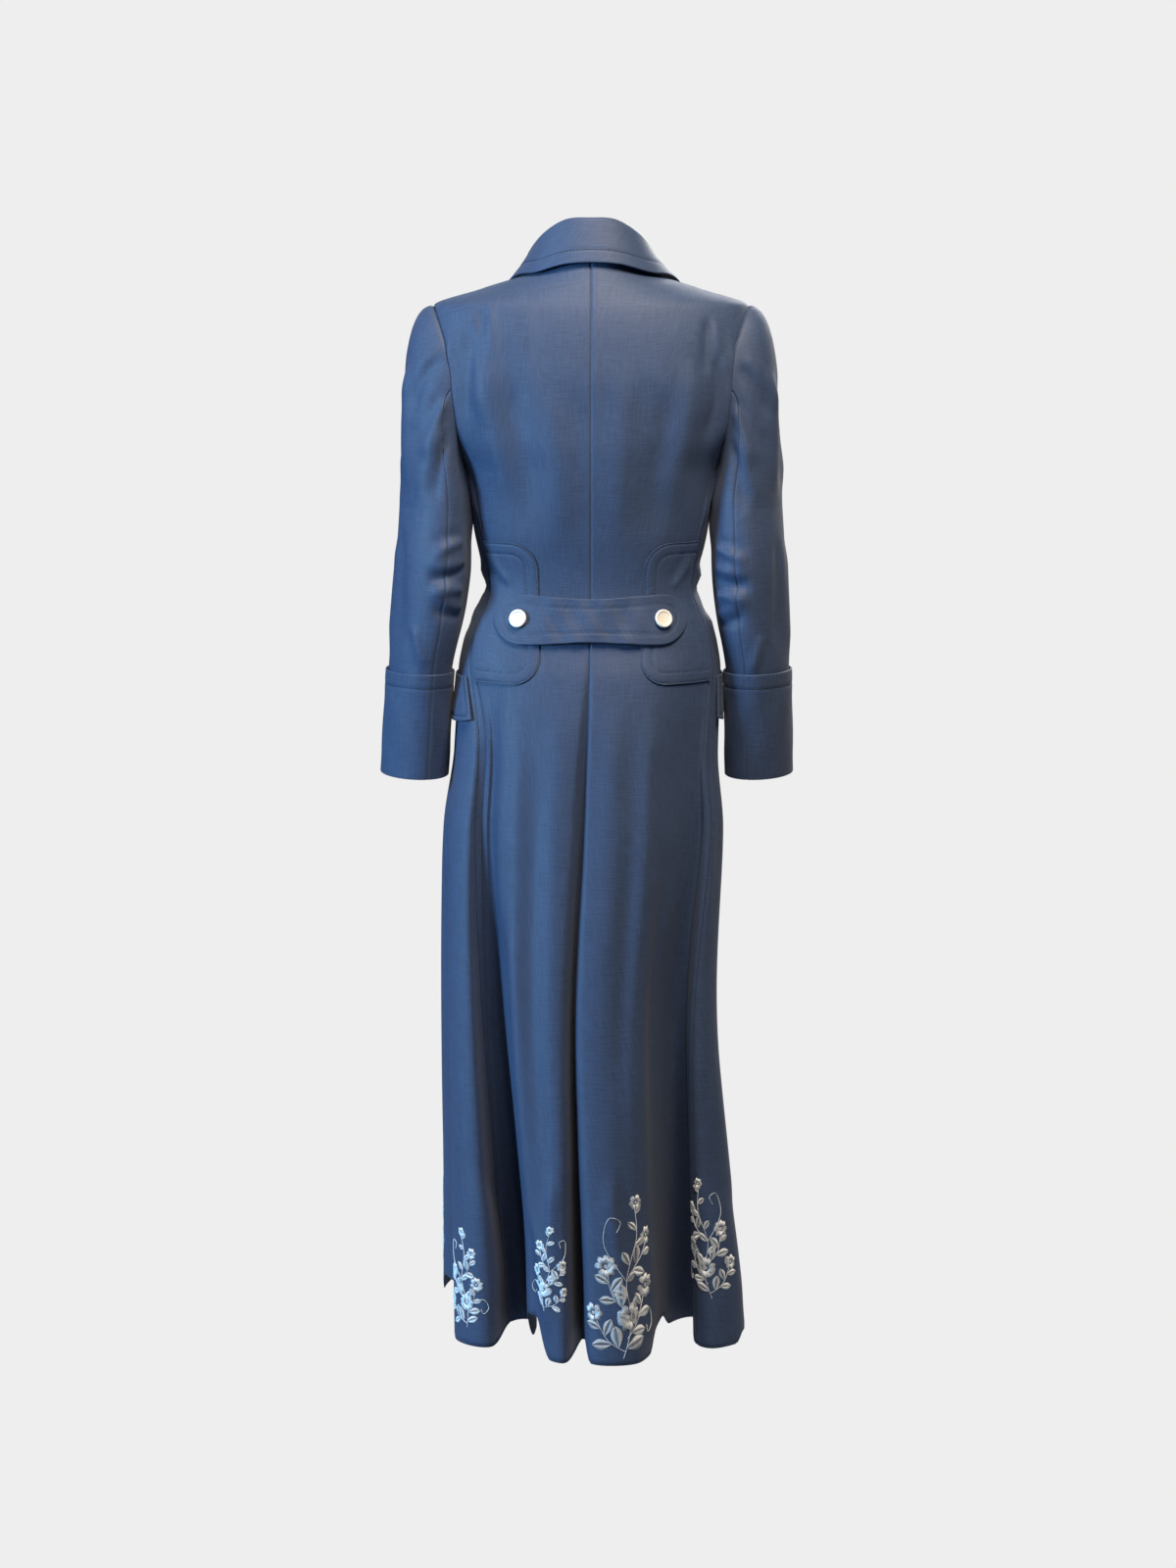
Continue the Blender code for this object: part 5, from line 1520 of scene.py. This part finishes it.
def add_pocket_flap(side, cloth):
    """A hip pocket flap that stands off at its free edge."""
    across = shares(FLAP_LENGTH, SMALL_STEP)
    azimuth = mix(FLAP_AZIMUTHS, across)
    if side == "right":
        azimuth = 360.0 - azimuth[::-1]
    foot = FLAP_END_Z + FLAP_CORNER_LIFT * (2 * across - 1) ** 4
    rise = shares(FLAP_TOP_Z - FLAP_END_Z, SMALL_STEP)[:, None]
    z = foot + (FLAP_TOP_Z - foot) * rise
    points, normals = laid_on(np.broadcast_to(azimuth, z.shape), z)
    lift = mix(FLAP_GAP, 1 - rise) + FIRM_CLOTH / 2
    lift = lift + waved(FLAP_WAVES, np.radians(azimuth), rise) * (1 - rise)
    middle = lifted(points, normals, lift)
    away = from_edges(middle, ("bottom", "start", "end"))
    middle = lifted(middle, normals, -groove(away, FLAP_STITCH))
    outside = middle + normals * FIRM_CLOTH / 2
    sew(*inset_path(outside, normals, "bottom", FLAP_STITCH, FLAP_FOOT_TRIM))
    for edge in ("start", "end"):
        sew(*inset_path(outside, normals, edge, FLAP_STITCH, FLAP_END_TRIM))
    add_cloth(
        f"pocket_flap_{side}", middle, normals, FIRM_CLOTH, cloth, ALL_EDGES,
    )


def add_button(name, x, z, front, stand, material):
    """A round button with a raised rim and a dished face."""
    line = line_at(azimuth_at(x, z, front))
    normal = skirt_normal(line, z)
    seat = skirt_point(line, z) + normal * stand
    aside = unit(np.cross(normal, UP))
    up = np.cross(aside, normal)
    turn = np.arange(BUTTON_SIDES) * 2 * math.pi / BUTTON_SIDES
    spoke = np.cos(turn)[:, None] * aside + np.sin(turn)[:, None] * up
    rows = [
        seat + spoke * radius * BUTTON_RADIUS + normal * height * BUTTON_THICKNESS
        for radius, height in BUTTON_PROFILE[1:]
    ]
    points = np.concatenate([[seat + normal * BUTTON_PROFILE[0][1] * BUTTON_THICKNESS], *rows])
    place = 1 + np.arange(len(rows) * BUTTON_SIDES).reshape(len(rows), BUTTON_SIDES)
    after = np.roll(place, -1, axis=1)
    quads = np.stack([place[:-1], after[:-1], after[1:], place[1:]], axis=-1).reshape(-1, 4)
    faces = quads[:, ::-1].tolist()
    faces += [[0, a, b] for a, b in zip(place[0].tolist(), after[0].tolist())]
    faces.append(place[-1].tolist())
    piece = add_mesh(f"{name}_face", points.tolist(), faces, material)
    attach(piece, "root")
    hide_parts(name)


def add_buttons(material):
    """Two buttons on the half belt and two columns on the front."""
    on_belt = belt_gap(BELT_BUTTON_X) + FIRM_CLOTH + BELT_BUTTON_SEAT
    for side, sign in SIDES.items():
        add_button(f"belt_button_{side}", sign * BELT_BUTTON_X, BELT_Z, False, on_belt, material)
    for row, z in enumerate(FRONT_BUTTON_ROWS, 1):
        for side, sign in SIDES.items():
            name = f"front_button_{side}_{row}"
            add_button(name, sign * FRONT_BUTTON_X, z, True, FRONT_BUTTON_SEAT, material)


# Materials


def fill(tree, socket, value):
    """Sets a shader input, or links it where the value is another node's output."""
    if isinstance(value, bpy.types.NodeSocket):
        tree.links.new(value, socket)
    else:
        socket.default_value = value


def set_inputs(tree, node, **values):
    """Fills the named inputs of a shader node."""
    for name, value in values.items():
        fill(tree, node.inputs[name.replace("_", " ")], value)


def add_node(tree, kind, **values):
    """A shader node with its named inputs filled."""
    node = tree.nodes.new(kind)
    set_inputs(tree, node, **values)
    return node


def maths(tree, operation, *values):
    """The result of a sum or product of values."""
    node = tree.nodes.new("ShaderNodeMath")
    node.operation = operation
    for socket, value in zip(node.inputs, values):
        fill(tree, socket, value)
    return node.outputs["Value"]


def noise(tree, place, scale, detail):
    """A cloudy pattern."""
    return add_node(tree, "ShaderNodeTexNoise", Vector=place, Scale=scale, Detail=detail).outputs["Fac"]


def object_place(tree):
    """Coordinates fixed to the object."""
    return tree.nodes.new("ShaderNodeTexCoord").outputs["Object"]


def scaled(tree, place, scale):
    """Coordinates stretched by a scale for each axis."""
    return add_node(tree, "ShaderNodeMapping", Vector=place, Scale=scale).outputs["Vector"]


def ranged(tree, value, **limits):
    """A value carried over from one range to another."""
    return add_node(tree, "ShaderNodeMapRange", Value=value, **limits).outputs["Result"]


def shaded(tree, share, dark, light):
    """A colour between two."""
    ramp = add_node(tree, "ShaderNodeValToRGB", Fac=share)
    ramp.color_ramp.elements[0].color = dark
    ramp.color_ramp.elements[1].color = light
    return ramp.outputs["Color"]


def new_material(name, colour):
    """A material with its node tree and its shader."""
    material = bpy.data.materials.new(name)
    material.use_nodes = True
    material.diffuse_color = colour
    return material, material.node_tree, material.node_tree.nodes["Principled BSDF"]


def cloth_material():
    """Navy twill with fine threads, an uneven dye and a soft sheen."""
    material, tree, shader = new_material("navy_twill", NAVY_LIGHT)
    layer = tree.nodes.new("ShaderNodeUVMap")
    layer.uv_map = "weave"
    weave = layer.outputs["UV"]
    warps = noise(tree, scaled(tree, weave, WARP_SCALE), 1.0, 3.0)
    wefts = noise(tree, scaled(tree, weave, WEFT_SCALE), 1.0, 3.0)
    ribs = scaled(tree, weave, TWILL_SCALE)
    twill = add_node(tree, "ShaderNodeTexWave", Vector=ribs, Scale=1.0, Distortion=1.5)
    twill.bands_direction = "DIAGONAL"
    dye = noise(tree, object_place(tree), 7.0, 4.0)
    grain = maths(tree, "MULTIPLY_ADD", dye, 0.5, maths(tree, "ADD", warps, wefts))
    height = maths(tree, "ADD", twill.outputs["Fac"], warps)
    bump = add_node(tree, "ShaderNodeBump", Strength=0.22, Distance=0.0003, Height=height)
    set_inputs(
        tree,
        shader,
        Base_Color=shaded(tree, ranged(tree, grain, From_Min=0.85, From_Max=1.65), NAVY_DARK, NAVY_LIGHT),
        Roughness=ranged(tree, dye, To_Min=0.56, To_Max=0.70),
        Specular_IOR_Level=0.42,
        Sheen_Weight=0.07,
        Sheen_Roughness=0.50,
        Sheen_Tint=SHEEN_TINT,
        Normal=bump.outputs["Normal"],
    )
    return material


def thread_material(name, dark, light, roughness):
    """Sewing thread with a fine twist."""
    material, tree, shader = new_material(name, light)
    twist = noise(tree, object_place(tree), 900.0, 2.0)
    set_inputs(tree, shader, Base_Color=shaded(tree, twist, dark, light), Roughness=roughness)
    return material


def button_material():
    """Polished white with a faint cloudiness."""
    material, tree, shader = new_material("polished_white", BUTTON_WHITE)
    cloud = noise(tree, object_place(tree), 160.0, 3.0)
    colour = shaded(tree, cloud, BUTTON_SHADE, BUTTON_WHITE)
    set_inputs(tree, shader, Base_Color=colour, Roughness=0.22, Coat_Weight=0.4)
    return material


# Stage


def shown_only(tree, light, seen):
    """A shader that the camera sees as one surface while the light meets another."""
    choice = tree.nodes.new("ShaderNodeMixShader")
    path = tree.nodes.new("ShaderNodeLightPath")
    for socket, value in zip(choice.inputs, (path.outputs["Is Camera Ray"], light, seen)):
        fill(tree, socket, value)
    return choice.outputs["Shader"]


def add_floor():
    """A plain pale floor that runs into the surround."""
    corners = [(x * FLOOR_HALF, y * FLOOR_HALF, FLOOR_Z) for x, y in ((-1, -1), (1, -1), (1, 1), (-1, 1))]
    material, tree, shader = new_material("pale_floor", PALE)
    set_inputs(tree, shader, Base_Color=FLOOR_GREY, Roughness=0.9)
    glow = add_node(tree, "ShaderNodeEmission", Color=PALE, Strength=1.0)
    surface = shown_only(tree, shader.outputs["BSDF"], glow.outputs["Emission"])
    set_inputs(tree, tree.nodes["Material Output"], Surface=surface)
    add_mesh("floor", corners, [[0, 1, 2, 3]], material)


def add_lights():
    """Cool light from the wearer's left, warmer light from above and plain light from the front."""
    for lamp in LAMPS:
        data = bpy.data.lights.new(lamp.name, "AREA")
        data.size = lamp.size
        data.energy = lamp.power
        data.color = lamp.colour
        light = bpy.data.objects.new(lamp.name, data)
        light.location = lamp.place
        x, y, z = np.array(lamp.aim) - np.array(lamp.place)
        light.rotation_euler = (math.atan2(math.hypot(x, y), -z), 0.0, math.atan2(-x, y))
        bpy.context.scene.collection.objects.link(light)


def add_world():
    """A pale surround that lights the coat more gently than it looks."""
    world = bpy.data.worlds.new("studio")
    bpy.context.scene.world = world
    world.use_nodes = True
    tree = world.node_tree
    seen = tree.nodes["Background"]
    set_inputs(tree, seen, Color=PALE)
    light = add_node(tree, "ShaderNodeBackground", Color=AMBIENT_TINT, Strength=AMBIENT)
    surface = shown_only(tree, light.outputs["Background"], seen.outputs["Background"])
    set_inputs(tree, tree.nodes["World Output"], Surface=surface)


def add_camera():
    """A long lens level with the shoulders, behind the coat."""
    data = bpy.data.cameras.new("camera")
    data.sensor_width = CAMERA_SENSOR
    data.lens = CAMERA_LENS
    data.shift_x = CAMERA_SHIFT
    camera = bpy.data.objects.new("camera", data)
    camera.location = CAMERA_PLACE
    camera.rotation_euler = (math.radians(CAMERA_TILT), 0.0, math.radians(CAMERA_HEADING))
    bpy.context.scene.collection.objects.link(camera)
    bpy.context.scene.camera = camera


def main():
    cloth = cloth_material()
    add_body(cloth)
    for side in SIDES:
        add_sleeve(side, cloth)
        add_cuff(side, cloth)
        add_lapel(side, cloth)
        add_belt_patch(side, cloth)
        add_pocket_flap(side, cloth)
    add_collar(cloth)
    add_half_belt(cloth)
    add_buttons(button_material())
    add_topstitching(thread_material("navy_thread", THREAD_NAVY, THREAD_BLUE, roughness=0.5))
    add_embroidery(thread_material("white_thread", THREAD_GREY, THREAD_WHITE, roughness=0.45))
    add_floor()
    add_lights()
    add_world()
    add_camera()
    bpy.context.scene.view_settings.view_transform = "Standard"


main()
